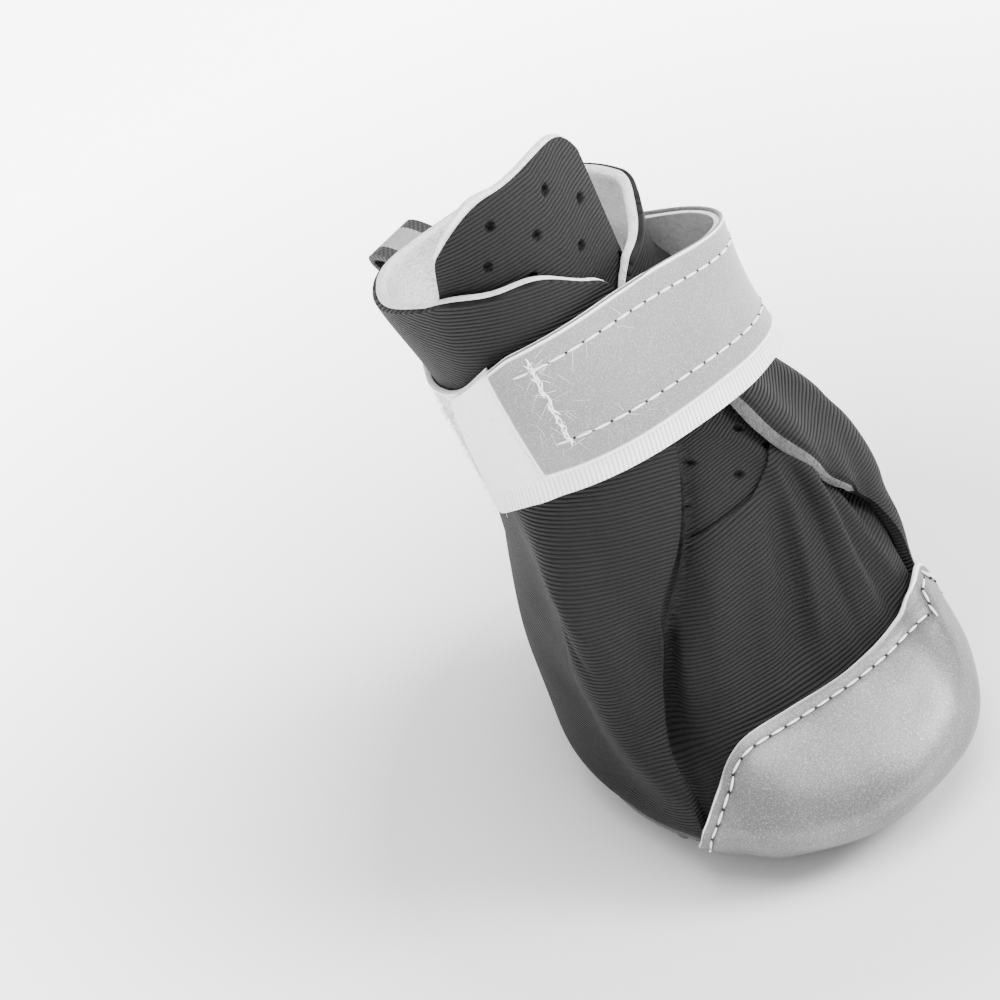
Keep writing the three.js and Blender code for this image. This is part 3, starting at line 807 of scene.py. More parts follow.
# Points along a path at an even pitch, with the path's direction and the surface's normal there.
def evenly(path, normals, pitch, start=0.0, end=0.0):
    length = lengthAlong(path, 0)
    count = max(2, int(round((length[-1] - start - end) / pitch)))
    at = start + (np.arange(count) + 0.5) * (length[-1] - start - end) / count
    places = np.stack([np.interp(at, length, path[:, k]) for k in range(3)], -1)
    up = np.stack([np.interp(at, length, normals[:, k]) for k in range(3)], -1)
    slopes = np.gradient(path, axis=0)
    along = np.stack([np.interp(at, length, slopes[:, k]) for k in range(3)], -1)
    along = along / np.linalg.norm(along, axis=-1, keepdims=True)
    return places, along, up


# Sizes of dark grains set between the stitches: painted shade in the needle holes.
stitchHoleShade = {"Length": 0.62, "Width": 0.5, "Height": 0.42}


def stitchRow(name, path, normals, style, finish):
    places, along, up = evenly(path, normals, style["pitch"], style.get("start", 0), style.get("end", 0))
    points = pointCloud(name, places + up * style.get("lift", 0.05), along, up)
    settings = {
        "Length": style["length"] * mm, "Width": style["width"] * mm, "Height": style["height"] * mm,
        "Finish": finishes[finish],
    }
    runRepeat("stitch", points, settings)
    # Dark grains at the stitch holes paint the shade inside them.
    if style.get("hole"):
        shift = style["pitch"] / 2
        places, along, up = evenly(
            path, normals, style["pitch"], style.get("start", 0) + shift, style.get("end", 0) - shift,
        )
        holes = pointCloud(name + "Holes", places, along, up)
        size = {key: value * mm for key, value in stitchHoleShade.items()}
        settings = {**size, "Finish": finishes["darkThreadAndHoleShade"]}
        runRepeat("stitch", holes, settings)


print("tools ready")


# Floor and light, in metres.
floorHalf = 3.0
worldStrength = 0.95


def makeFloor():
    mesh = bpy.data.meshes.new("floor")
    half = floorHalf
    corners = [(-half, -half, 0), (half, -half, 0), (half, half, 0), (-half, half, 0)]
    mesh.from_pydata(corners, [], [(0, 1, 2, 3)])
    mesh.materials.append(floorPaint("floorPaint"))
    floor = bpy.data.objects.new("floor", mesh)
    scene.collection.objects.link(floor)


# place and aim in metres, size across, and watts
softLights = (
    {"name": "overhead", "place": (0.15, 0.1, 0.9), "aim": (0, 0, 0.05), "size": (0.8, 0.6), "power": 11.0},
    {"name": "rightKey", "place": (0.5, 0.7, 0.6), "aim": (0.01, 0, 0.05), "size": (0.4, 0.4), "power": 17.0},
    {"name": "leftFill", "place": (0.35, -0.8, 0.4), "aim": (0, 0, 0.05), "size": (0.6, 0.5), "power": 0.8},
    {"name": "backRim", "place": (-0.7, 0.1, 0.5), "aim": (0, 0, 0.06), "size": (0.6, 0.4), "power": 0.6},
)


def makeLights():
    for light in softLights:
        data = bpy.data.lights.new(light["name"], "AREA")
        data.shape = "RECTANGLE"
        data.size, data.size_y = light["size"]
        data.energy = light["power"]
        lamp = bpy.data.objects.new(light["name"], data)
        lamp.location = light["place"]
        direction = Vector(light["aim"]) - Vector(light["place"])
        lamp.rotation_euler = direction.to_track_quat("-Z", "Y").to_euler()
        scene.collection.objects.link(lamp)
    world = bpy.data.worlds.new("world")
    world.use_nodes = True
    background = world.node_tree.nodes["Background"]
    background.inputs["Color"].default_value = grey(1.0)
    background.inputs["Strength"].default_value = worldStrength
    scene.world = world


makeFloor()
makeLights()


# Upper.
# Creases of the cloth alone: ends, rise as a share of the wall, spread in degrees.
creases = (
    ((52, 1.08), (52, 0.86), -2.5, 46),
    ((-90, 0.51), (-69, 0.37), -0.3, 4),
    ((-83, 0.56), (-62, 0.42), 0.22, 6),
    ((-50, 0.72), (-51, 0.5), -0.12, 6),
    ((-66, 0.3), (-58, 0.1), 0.25, 6),
    ((21, 0.56), (9, 0.26), 0.62, 3.4),
    ((30, 0.53), (30, 0.25), 0.62, 3.2),
    ((25.5, 0.54), (20, 0.22), -0.62, 3.2),
    ((38, 0.48), (38, 0.22), -0.55, 3.6),
    ((45, 0.42), (46, 0.24), 0.4, 3.2),
    ((53, 0.39), (55, 0.25), -0.3, 3.6),
    ((13, 0.5), (2, 0.24), -0.4, 4.2),
    ((4, 0.46), (-7, 0.26), 0.28, 4.5),
    ((75, 0.52), (98, 0.42), -0.25, 6),
    ((70, 0.36), (92, 0.2), -0.2, 7),
    ((-104, 0.62), (-128, 0.52), -0.25, 6),
    ((-100, 0.44), (-120, 0.3), -0.3, 7),
    ((140, 0.6), (112, 0.48), -0.3, 6),
    ((165, 0.42), (128, 0.3), -0.25, 7),
    ((-165, 0.5), (-138, 0.4), -0.25, 7),
)
# The hollow beside the quarter's edge, in the vamp and the foot of the tongue.
hollows = (
    ((-12, 0.66), (-32, 0.36), -1.25, 8),
    ((-33, 0.42), (-50, 0.14), -0.8, 6),
    ((42, 0.5), (54, 0.36), -1.0, 6),
)
upperStyle = {
    "columns": 250, "rows": 140, "vampColumns": 130, "vampRows": 90, "vampFoot": 10.0, "vampThickness": 0.5,
    "vampInner": -2.2, "tuck": 6, "tuckDepth": 1.55, "slitLift": 1.3, "slitSpread": 16, "slitShow": 6.2,
    "slitRun": 5, "cornerRight": 3.5, "cornerLeft": 7.5, "millimetresPerDegree": 0.45, "rimSwell": 0.7,
    "rimOpen": 12, "strapCover": 92,
}
laminateRim = ((0.1, 0.1), (0.3, 0.14), (0.32, 0.3), (0.5, 0.45), (0.75, 0.42), (0.92, 0.25))
# The third finish is the felt painted dark, as shade in the slit.
laminate = [finishes["ribbed"], finishes["felt"], finishes["slitShadeFelt"]]


def skinPoint(degrees, z, out=0.0):
    return wallPoint(degrees, z, out + foldRise(degrees, z, creases))


# The ribs are counted from this height, so that they meet round the boot.
ribLevel = 50.0


def ribPlaces(degrees, z):
    form = formPoint(degrees, z)
    along = lengthAlong(form, 1)
    middle = np.array([np.interp(ribLevel, z[i], along[i]) for i in range(len(z))])[:, None]
    return np.stack([degrees * upperStyle["millimetresPerDegree"], along - middle], -1)


def quarterLift(degrees, z):
    share = heightShare(z)
    window = smooth((share - 0.34) / 0.12) * (1 - smooth((share - 0.76) / 0.12))
    away = (degrees - edgeAngle("left", z)) / upperStyle["slitSpread"]
    return upperStyle["slitLift"] * bell(away) * window


def slitWindow(z):
    share = heightShare(z)
    return smooth((share - 0.4) / 0.045) * (1 - smooth((share - 0.8) / 0.1))


def makeQuarters():
    style = upperStyle
    share = np.linspace(0, 1, style["rows"])[None, :]
    level = wallFoot + share * (wallForm["collar"] - wallFoot)
    across = np.linspace(0, 1, style["columns"])[:, None]
    degrees = mix(edgeAngle("left", level), edgeAngle("right", level) + 360, across)
    top = rimOf(degrees)
    fromLeft = (degrees - edgeAngle("left", level)) * style["millimetresPerDegree"]
    fromRight = (edgeAngle("right", level) + 360 - degrees) * style["millimetresPerDegree"]
    for away, corner in ((fromLeft, style["cornerLeft"]), (fromRight, style["cornerRight"])):
        short = np.clip(corner - away, 0, corner)
        top = top - (corner - np.sqrt(corner**2 - short**2))
    z = wallFoot + share * (top - wallFoot)
    lift = quarterLift(degrees, z)
    outer = skinPoint(degrees, z, lift)
    window = slitWindow(z)
    fromEdge = degrees - edgeAngle("left", z)
    shown = style["slitShow"] * window * bell(fromEdge / style["slitRun"])
    thick = wallForm["thickness"] + style["rimSwell"] * bell((top - z) / 3.5) * smooth((z - 96) / 6)
    inward = lift * 0.75 - thick + 0.3 * window * bell(fromEdge / style["slitRun"])
    inner = skinPoint(degrees - shown, z, inward)
    left = np.broadcast_to(across < 0.5, z.shape)
    open_ = np.broadcast_to(top - z < style["rimOpen"], z.shape) | (z > style["strapCover"])
    # Index 2 gives the slit's edge the darkened felt, as painted shade.
    cut = np.where(open_, 1, np.where(left & (window > 0.02), 2, 0)) * (share > 0)
    swell = np.where(left & (window > 0.02) & ~open_, 0.25 + 0.75 * window, np.where(open_, 1.0, 0.3))
    thing = closedSheet(
        "quarters", outer, inner, laminate, rim=laminateRim, uv=ribPlaces(degrees, z),
        darkRows=3, cut=cut, swell=swell,
    )
    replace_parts(thing, "upper")


def vampTop(degrees):
    return wallForm["vampTop"] + 0.6 + 4.5 * smooth((degrees - 8) / 22)


def vampOut(degrees, z):
    inside = np.minimum(degrees - edgeAngle("right", z), edgeAngle("left", z) - degrees)
    tuck = 1 - smooth(inside / 7)
    step = 0.25 + (wallForm["vampStep"] - 0.25) * smooth((z - 22) / 8)
    dip = 0.9 * bell((vampTop(degrees) - z) / 1.5)
    return -step - upperStyle["tuckDepth"] * tuck - dip + foldRise(degrees, z, hollows)


def makeVamp():
    style = upperStyle
    share = np.linspace(0, 1, style["vampRows"])[None, :]
    across = np.linspace(0, 1, style["vampColumns"])[:, None]
    foot = style["vampFoot"]
    level = mix(foot, wallForm["vampTop"], share)
    low, high = edgeAngle("right", level) - style["tuck"], edgeAngle("left", level) + style["tuck"]
    degrees = mix(low, high, across)
    z = mix(foot, vampTop(degrees), share)
    out = vampOut(degrees, z)
    outer = skinPoint(degrees, z, out)
    inner = skinPoint(degrees, z, np.minimum(out - style["vampThickness"], style["vampInner"]))
    thing = closedSheet(
        "vamp", outer, inner, laminate, rim=((0.3, 0.05), (0.8, 0.05)),
        uv=ribPlaces(degrees, z), darkRows=3, cut=np.zeros(z.shape, int),
    )
    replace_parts(thing, "upper")


# Short fibres: places on a surface, thrown about its normal and a side direction with a fixed seed.
def makeFuzz(name, places, normals, side, style, finish):
    random = np.random.default_rng(style["seed"])
    count = len(places)
    turn = np.cross(normals, side)
    up = side * style["side"] + normals * style["rise"]
    up = up + turn * style["spread"] * random.normal(0, 1, (count, 1))
    up = up + normals * style["spread"] * random.normal(0, 1, (count, 1))
    up = up / np.linalg.norm(up, axis=-1, keepdims=True)
    points = pointCloud(name, places, np.cross(up, turn), up, 0.5 + random.random(count))
    settings = {"Length": style["length"] * mm, "Radius": style["radius"] * mm, "Finish": finishes[finish]}
    runRepeat("fibre", points, settings)


fringeStyle = {
    "seed": 3, "count": 420, "length": 1.5, "radius": 0.05, "side": 1.0, "rise": 0.1, "spread": 0.4,
    "low": 47, "high": 80, "sunk": 0.3,
}


def makeFringe():
    z = np.linspace(fringeStyle["low"], fringeStyle["high"], fringeStyle["count"])
    degrees = edgeAngle("right", z)
    places = skinPoint(degrees, z, -fringeStyle["sunk"])
    normals = normalOf(skinPoint, degrees, z)
    step = skinPoint(degrees + 1, z) - skinPoint(degrees - 1, z)
    side = step / np.linalg.norm(step, axis=-1, keepdims=True)
    makeFuzz("fringe", places, normals, side, fringeStyle, "lint")


makeQuarters()
makeVamp()
makeFringe()
print("upper made")


# Tongue.
tongueStyle = {
    "thickness": 1.8, "top": 130, "foot": 53, "left": 15, "right": -86, "slack": 0.8, "rightFall": 0.143,
    "leftFall": 0.08, "footShare": 0.72, "raise": 6, "columns": 110, "rows": 180, "strap": 88.5, "dive": 0.7,
    "holeRadius": 0.8, "holeDepth": 1.0, "cornerFall": 0.09,
}


def raisedPoint(degrees, z, out):
    collar = wallForm["collar"] + 0 * z
    rim = np.maximum(rimOf(degrees), collar)
    point = skinPoint(degrees, np.minimum(z, rim), out)
    slope = skinPoint(degrees, collar, out) - skinPoint(degrees, collar - tongueStyle["raise"], out)
    over = np.maximum(z - rim, 0)[..., None] / tongueStyle["raise"]
    raised = point + slope * over
    raised[..., 2] = np.where(z > rim, z, point[..., 2])
    return raised


def tongueGrid():
    style = tongueStyle
    s = np.linspace(-1, 1, style["columns"])[:, None]
    t = np.linspace(0, 1, style["rows"])[None, :]
    fall = np.where(s < 0, style["rightFall"] * np.abs(s) ** 1.6, style["leftFall"] * np.abs(s) ** 9)
    fall = fall + style["cornerFall"] * smooth((-s - 0.8) / 0.2) ** 2
    z = mix(style["foot"], mix(style["foot"], style["top"], 1 - fall), t)
    share = smooth((z - wallForm["vampTop"]) / (style["strap"] - wallForm["vampTop"]))
    centre = (style["left"] + style["right"]) / 2
    half = (style["left"] - style["right"]) / 2
    footAngle = (edgeAngle("left", style["foot"]) + edgeAngle("right", style["foot"])) / 2
    degrees = mix(footAngle, centre, share) + s * half * mix(style["footShare"], 1, share)
    return s, degrees, z, share


def makeTongue():
    style = tongueStyle
    s, degrees, z, share = tongueGrid()
    dive = style["dive"] * (1 - smooth((z - 56.5) / 3.5))
    hollow = foldRise(degrees, z, hollows)
    face = hollow - (wallForm["thickness"] + gap) - style["slack"] * share - dive
    outer = raisedPoint(degrees, z, face)
    middle = style["columns"] // 2
    up = lengthAlong(outer, 1)
    across = lengthAlong(outer, 0)
    across = across - across[middle:middle + 1]
    holes = np.zeros(z.shape)
    for u, v in tongueHoles:
        away = np.hypot(across - u, up - v)
        away = away / style["holeRadius"]
        holes = np.maximum(holes, 1 - smooth((away - 0.6) / 0.7))
    outer = raisedPoint(degrees, z, face - style["holeDepth"] * holes)
    inner = raisedPoint(degrees, z, face - style["thickness"] - 0.5 * smooth(-s) * share)
    swell = 1 + 2.4 * smooth(0.35 - s * 2.6) * smooth((z - 100) / 14)
    thing = closedSheet(
        "tongue", outer, inner, [finishes["tongue"], finishes["felt"]],
        rim=((0.08, 0.08), (0.22, 0.1), (0.24, 0.42), (0.45, 0.5), (0.75, 0.45), (0.92, 0.3)),
        uv=np.stack([across, up], -1), darkRows=1, values={"hole": holes}, swell=swell,
    )
    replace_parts(thing, "tongue")


# Places of the holes on the tongue: across from its middle, and up from its foot.
tongueHoles = (
    (10.2, 79.2), (16.6, 71.6), (-2.0, 80.5), (4.5, 74.1), (11.9, 66.3), (20.8, 57.4), (-5.2, 74.1),
    (0.7, 68.0), (7.9, 60.2), (16.0, 52.3), (-8.3, 67.6), (-2.4, 61.8), (10.6, 24.9), (11.7, 17.5),
    (10.9, 10.8), (0.7, 18.9), (2.4, 10.3), (-8.4, 11.5), (-7.4, 20.4),
)
makeTongue()
print("tongue made")


# Toe cap.
capStyle = {
    "standOff": 0.75, "thickness": 0.9, "columns": 190, "rows": 70, "stitchInset": 2.0, "groove": 0.22,
    "grooveSpread": 0.7,
    "angle": (-60, -55, -44.5, -28.5, -10, 12, 30, 45, 56, 63, 70, 76),
    "height": (0.14, 0.41, 0.73, 0.95, 1.01, 1.0, 1.01, 1.05, 1.12, 1.0, 0.73, 0.25),
    "top": 25,
}
capStitch = {
    "pitch": 3.1, "length": 2.7, "width": 0.46, "height": 0.5, "lift": 0.05, "start": 1.0, "end": 1.0,
    "hole": True,
}
# angle, height, rise, spread in degrees and in millimetres
capLumps = (
    (30, 13, 0.5, 16, 6), (-8, 9, 0.35, 14, 5), (50, 9, -0.35, 9, 4), (-46, 10, -0.5, 6, 3),
    (-38, 8, 0.35, 7, 3), (8, 19, -0.25, 18, 3), (62, 14, 0.35, 8, 5),
)


def capRear(degrees):
    share = readCurve(capStyle["angle"], capStyle["height"], degrees)
    return mix(wallFoot, capStyle["top"], share)


def capPoint(degrees, z, out):
    rise = np.zeros(np.broadcast(degrees, z).shape)
    for angle, height, lump, aroundSpread, upSpread in capLumps:
        rise = rise + lump * bell((degrees - angle) / aroundSpread) * bell((z - height) / upSpread)
    return wallPoint(degrees, z, out + rise)


# A path on a surface, moved across itself by a distance. The surface lies to the path's right.
def offsetPath(surface, degrees, z, distance):
    step = 0.4
    place = surface(degrees, z)
    perDegree = (surface(degrees + step, z) - surface(degrees - step, z)) / (2 * step)
    perHeight = (surface(degrees, z + step) - surface(degrees, z - step)) / (2 * step)
    normal = np.cross(perDegree, perHeight)
    normal = normal / np.linalg.norm(normal, axis=-1, keepdims=True)
    along = np.gradient(place, axis=0)
    side = np.cross(along, normal)
    side = side / np.linalg.norm(side, axis=-1, keepdims=True) * distance
    a = np.sum(perDegree * perDegree, -1)
    b = np.sum(perDegree * perHeight, -1)
    c = np.sum(perHeight * perHeight, -1)
    p, q = np.sum(side * perDegree, -1), np.sum(side * perHeight, -1)
    determinant = a * c - b * b
    return degrees + (c * p - b * q) / determinant, z + (a * q - b * p) / determinant, normal


def distanceTo(points, path):
    flat = points.reshape(-1, 3)
    best = np.full(len(flat), 1e9)
    for start in range(0, len(path), 40):
        part = path[start:start + 40]
        best = np.minimum(best, np.linalg.norm(flat[:, None] - part[None], axis=-1).min(1))
    return best.reshape(points.shape[:2])


def makeToeCap():
    style = capStyle
    outside = style["standOff"] + style["thickness"]
    degrees = np.linspace(style["angle"][0], style["angle"][-1], style["columns"])[:, None]
    t = np.linspace(0, 1, style["rows"])[None, :]
    z = mix(wallFoot + gap, capRear(degrees), t)
    degrees = degrees + 0 * z

    def top(a, h):
        return capPoint(a, h, outside)

    pathDegrees = np.linspace(style["angle"][0], style["angle"][-1], 600)
    pathZ = capRear(pathDegrees)
    innerDegrees, innerZ, normals = offsetPath(top, pathDegrees, pathZ, style["stitchInset"])
    within = (innerDegrees > style["angle"][0] + 1) & (innerDegrees < style["angle"][-1] - 1)
    kept = (innerZ > wallFoot + 0.8) & within
    innerDegrees, innerZ, normals = innerDegrees[kept], innerZ[kept], normals[kept]
    path = top(innerDegrees, innerZ)
    clear = distanceTo(path[None], top(pathDegrees, pathZ))[0] > style["stitchInset"] * 0.94
    path, normals = path[clear], normals[clear]
    flat = capPoint(degrees, z, outside)
    away = distanceTo(flat, path)
    groove = -style["groove"] * bell(away / style["grooveSpread"])
    rear = lengthAlong(flat, 1)
    rear = rear[:, -1:] - rear
    groove = groove - 0.2 * bell(rear / 0.4)
    # The first mask, along the stitch line, paints shade in its groove.
    values = {"grooveShade": bell(away / 0.45), "edge": 1 - smooth((rear - 0.25) / 0.2)}
    outer = capPoint(degrees, z, outside + groove)
    inner = capPoint(degrees, z, style["standOff"] - 0.15)
    thing = closedSheet(
        "toeCap", outer, inner, [finishes["cap"], finishes["cut"]],
        rim=((0.15, 0.12), (0.5, 0.2), (0.85, 0.12)), uv=np.stack([degrees * 0.6, z], -1), values=values,
    )
    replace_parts(thing, "toe_cap")
    stitchRow("toeCapStitches", path, normals, capStitch, "thread")


makeToeCap()
print("toe cap made")


# Strap and tapes.
bandStyle = {
    "height": 88.5, "tilt": 0.3, "tapeWidth": 27.5, "tapeThickness": 1, "silverWidth": 23.2,
    "silverThickness": 0.5, "silverEnd": -61, "tapeEnd": -87, "sewn": 118, "standOff": 5.5, "looseAngle": 52,
    "looseSpread": 26, "loopFront": -66, "loopLap": 8, "lapRun": 10, "stripHalfAngle": 15,
    "stripThickness": 0.7,
}
underLayer = bandStyle["tapeThickness"] + gap


def bandHeight(degrees):
    x = formPoint(degrees, bandStyle["height"] + 0 * np.asarray(degrees, float))[..., 0]
    return bandStyle["height"] - bandStyle["tilt"] * (wallForm["ankleFront"] - x)


# How far the band's edges leave its straight line: the free end rides up, the back hangs lower.
def bandShift(degrees, level):
    turn = wrapDegrees(degrees)
    frontShare = (1 - smooth((turn + 15) / 55)) * smooth((turn + 84) / 26)
    upper = smooth((level + 14) / 28)
    backShare = smooth((-62 - turn) / 32) + smooth((turn - 122) / 40)
    return frontShare * mix(0.4, 2.4, upper) - backShare * mix(0.4, 3.4, upper)


def bandLevel(degrees, level):
    return bandHeight(degrees) + level + bandShift(degrees, level)


def bandPoint(degrees, level, out):
    return wallPoint(degrees, bandLevel(degrees, level), out)


def loopTapeOut(degrees):
    style = bandStyle
    over = 1 - smooth((np.abs(wrapDegrees(degrees - 180)) - style["stripHalfAngle"]) / style["lapRun"])
    return gap + (style["stripThickness"] + gap) * over


def strapOut(degrees):
    style = bandStyle
    overRight = 1 - smooth((degrees - style["loopFront"]) / style["lapRun"] - 0.2)
    overLeft = smooth((degrees - style["sewn"] + style["loopLap"]) / style["lapRun"] + 1.2)
    loose = style["standOff"] * bell((degrees - style["looseAngle"]) / style["looseSpread"])
    return gap + underLayer * np.maximum(overRight, overLeft) + loose * (1 - overLeft)


def bandGrid(start, end, low, high, columns, rows, corner=0.0, slant=0.0):
    degrees = np.linspace(start, end, columns)[:, None]
    level = np.linspace(low, high, rows)[None, :]
    middle = (low + high) / 2
    away = (degrees - start) * upperStyle["millimetresPerDegree"]
    short = np.clip(corner - away, 0, corner)
    half = (high - low) / 2 - (corner - np.sqrt(corner**2 - short**2))
    level = middle + (level - middle) * half / ((high - low) / 2)
    fade = bell((degrees - start) / 40)
    return degrees - slant * fade * (level - middle) / ((high - low) / 2), level


def makeBand(
    name, node, start, end, low, high, outOf, thickness, finish, size, corner=0.0, slant=0.0,
):
    degrees, level = bandGrid(start, end, low, high, *size, corner, slant)
    out = outOf(degrees)
    outer = bandPoint(degrees, level, out + thickness)
    inner = bandPoint(degrees, level, out)
    along = lengthAlong(outer, 0)
    uv = np.stack([along, level], -1)
    side = np.minimum(high - level, level - low)
    values = {"edge": 1 - smooth((np.minimum(side, along) - 0.15) / 0.2)}
    rim = ((0.3, 0.12), (0.7, 0.12))
    thing = closedSheet(name, outer, inner, [finishes[finish]], rim=rim, uv=uv, values=values)
    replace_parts(thing, node)


def filmOut(degrees):
    return strapOut(degrees) + bandStyle["tapeThickness"] + 0.05


def threadOut(degrees):
    return filmOut(degrees) + bandStyle["silverThickness"] + 0.22


def bandNormal(degrees, level):
    return normalOf(foldedPoint, degrees, bandLevel(degrees, level))


strapStitch = {"pitch": 3.3, "length": 3.0, "width": 0.46, "height": 0.5, "lift": 0.0, "hole": True}
# The bar of stitches across the strap's end: rows of zigzag over one another.
barStyle = {
    "rows": 3, "points": 90, "start": -48.5, "end": -43.5,
    "stitch": {"pitch": 1.7, "length": 1.9, "width": 0.32, "height": 0.4, "lift": 0.1},
}
stitchPoints = 400


def makeStrap():
    style = bandStyle
    half = style["tapeWidth"] / 2
    low = half - style["silverWidth"]
    makeBand(
        "loopTape", "loop_tape", style["sewn"] - style["loopLap"], 360 + style["loopFront"], -half, half,
        loopTapeOut, style["tapeThickness"], "tape", (170, 36),
    )
    makeBand(
        "strapTape", "strap_tape", style["tapeEnd"], style["sewn"], -half, half, strapOut,
        style["tapeThickness"], "tape", (220, 36), corner=2.0, slant=-2.0,
    )
    makeBand(
        "strapFilm", "strap_silver", style["silverEnd"], style["sewn"], low, half + 0.5, filmOut,
        style["silverThickness"] + 0.2, "strap", (220, 40), corner=1.0, slant=3.6,
    )
    rows = {"Upper": (-56, half - 3.4, half - 4.6), "Lower": (-49, low + 5.4, low + 3.4)}
    for name, (start, first, last) in rows.items():
        level = np.linspace(first, last, stitchPoints)
        degrees = np.linspace(start, style["sewn"] - 4, stitchPoints)
        path = bandPoint(degrees, level, threadOut(degrees))
        normals = bandNormal(degrees, level)
        stitchRow("strapStitches" + name, path, normals, strapStitch, "thread")
    count = barStyle["points"]
    for k in range(barStyle["rows"]):
        level = np.linspace(half - 0.8 - 0.5 * k, low + 4.2 + 0.4 * k, count)
        swing = (0.45 + 0.2 * k) * np.sin(np.linspace(0, (5 + 3 * k) * math.pi, count) + k * 2.1)
        degrees = np.linspace(barStyle["start"], barStyle["end"], count) + swing
        path = bandPoint(degrees, level, threadOut(degrees))
        normals = bandNormal(degrees, level)
        stitchRow(f"strapBar{k}", path, normals, barStyle["stitch"], "thread")
    makeHairs(half, low)


hairStyle = {
    "seed": 7, "count": 70, "alongSeam": 24, "middle": -46, "spread": 4.5, "length": 2.8, "radius": 0.03,
}


# Loose thread ends round the bar of stitches: thin, short, and set on the film with a fixed seed.
def makeHairs(half, low):
    random = np.random.default_rng(hairStyle["seed"])
    count, few = hairStyle["count"], hairStyle["alongSeam"]
    degrees = hairStyle["middle"] + hairStyle["spread"] * random.normal(0, 1, count)
    degrees[:few] = -48 + 40 * random.random(few)
    level = low + 4 + (half - low - 5) * random.random(count)
    level[:few] = np.where(np.arange(few) % 2, half - 3.8, low + 5) + random.normal(0, 0.7, few)
    places = bandPoint(degrees, level, threadOut(degrees) + 0.1)
    normals = bandNormal(degrees, level)
    turn = random.random(count) * 2 * math.pi
    side = np.cross(normals, (0, 0, 1.0))
    side = side / np.linalg.norm(side, axis=-1, keepdims=True)
    rise = np.cross(side, normals)
    lean = 0.25 * random.random(count)[:, None]
    up = side * np.cos(turn)[:, None] + rise * np.sin(turn)[:, None] + normals * lean
    up = up / np.linalg.norm(up, axis=-1, keepdims=True)
    points = pointCloud("strapHairs", places, np.cross(up, normals), up, 0.5 + random.random(count))
    settings = {"Length": hairStyle["length"] * mm, "Radius": hairStyle["radius"] * mm}
    runRepeat("fibre", points, {**settings, "Finish": finishes["thread"]})


# The loop tape's pile near its front, and the frayed corner at its end.
fuzzStyle = {
    "seed": 12, "count": 900, "length": 0.9, "radius": 0.045, "side": 0.5, "rise": 0.8, "spread": 0.7,
}
frayStyle = {
    "seed": 13, "count": 46, "length": 2.4, "radius": 0.06, "side": -0.9, "rise": 0.1, "spread": 0.35,
}


def makeTapeFuzz():
    random = np.random.default_rng(11)
    half = bandStyle["tapeWidth"] / 2
    count, few = fuzzStyle["count"], frayStyle["count"]
    degrees = 258 + 15 * random.random(count) + 2 * random.normal(0, 1, count)
    level = (random.random(count) * 2 - 1) * (half - 0.6)
    low = -half + 2.6 * random.random(few)
    end = 272.5 + 0.8 * random.random(few)
    tufts = (
        ("tapeFuzz", degrees, level, loopTapeOut(degrees) + bandStyle["tapeThickness"], fuzzStyle),
        ("tapeFray", end, low, 1.5 + 0 * low, frayStyle),
    )
    for name, degrees, level, out, style in tufts:
        places = bandPoint(degrees, level, out)
        step = bandPoint(degrees + 1, level, out) - places
        side = step / np.linalg.norm(step, axis=-1, keepdims=True)
        makeFuzz(name, places, bandNormal(degrees, level), side, style, "fuzz")


makeStrap()
makeTapeFuzz()
print("strap made")


# Heel strip and pull loop.
heelStyle = {
    "width": 13, "thickness": 0.7, "top": 92, "columns": 28, "rows": 140, "loopWidth": 10.5, "reach": 6.5,
    "height": 5.2, "droop": 0.25, "tape": 1.2, "place": 98, "standOff": 0.9,
}


heelStitch = {"pitch": 2.6, "length": 2.2, "width": 0.3, "height": 0.25, "lift": 0.02, "start": 2, "end": 2}


def makeHeelStrip():
    style = heelStyle
    z = np.linspace(wallFoot + gap, style["top"], style["rows"])[None, :]
    middle = skinPoint(180 + 0 * z, z)
    centre = (wallForm["ankleFront"] - wallForm["ankleBack"]) / 2
    radius = np.hypot(middle[..., 0] - centre, middle[..., 1])
    across = np.linspace(-0.5, 0.5, style["columns"])[:, None] * style["width"]
    degrees = 180 + np.degrees(across / radius)
    z = z + 0 * degrees
    face = gap + 0.1
    outer = skinPoint(degrees, z, face + style["thickness"])
    inner = skinPoint(degrees, z, face)
    uv = np.stack([across + 0 * z, lengthAlong(outer, 1)], -1)
    thing = closedSheet(
        "heelStrip", outer, inner, [finishes["heel"]], rim=((0.3, 0.1), (0.7, 0.1)), uv=uv,
    )
    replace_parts(thing, "heel_strip")
    for k, side in ((1, 5), (2, style["columns"] - 6)):
        normals = normalOf(skinPoint, degrees[side], z[side])
        stitchRow(f"heelStitches{k}", outer[side], normals, heelStitch, "darkThreadAndHoleShade")


def makePullLoop():
    style = heelStyle
    back = wallPoint(np.array([180.0]), np.array([float(style["place"])]), style["standOff"])[0]
    away = normalOf(foldedPoint, np.array([180.0]), np.array([float(style["place"])]))[0]
    away[2] = 0
    away = away / np.linalg.norm(away)
    sideways = np.array([-away[1], away[0], 0])
    across = np.linspace(-0.5, 0.5, 26)[:, None] * style["loopWidth"]
    turn = np.linspace(-0.5, 0.5, 60)[None, :] * math.pi

    def loop(inset):
        reach = (style["reach"] - inset) * np.cos(turn) ** 0.8
        rise = (style["height"] / 2 - inset) * np.sin(turn) + style["droop"] * reach
        point = back + away * reach[..., None] + sideways * across[..., None]
        point[..., 2] = style["place"] + rise
        return point

    outer, inner = loop(0.0), loop(style["tape"])
    uv = np.stack([across + 0 * turn, lengthAlong(outer, 1)], -1)
    thing = closedSheet(
        "pullLoop", outer, inner, [finishes["loop"]], rim=((0.3, 0.12), (0.7, 0.12)), uv=uv,
    )
    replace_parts(thing, "pull_loop")


makeHeelStrip()
makePullLoop()
print("heel made")


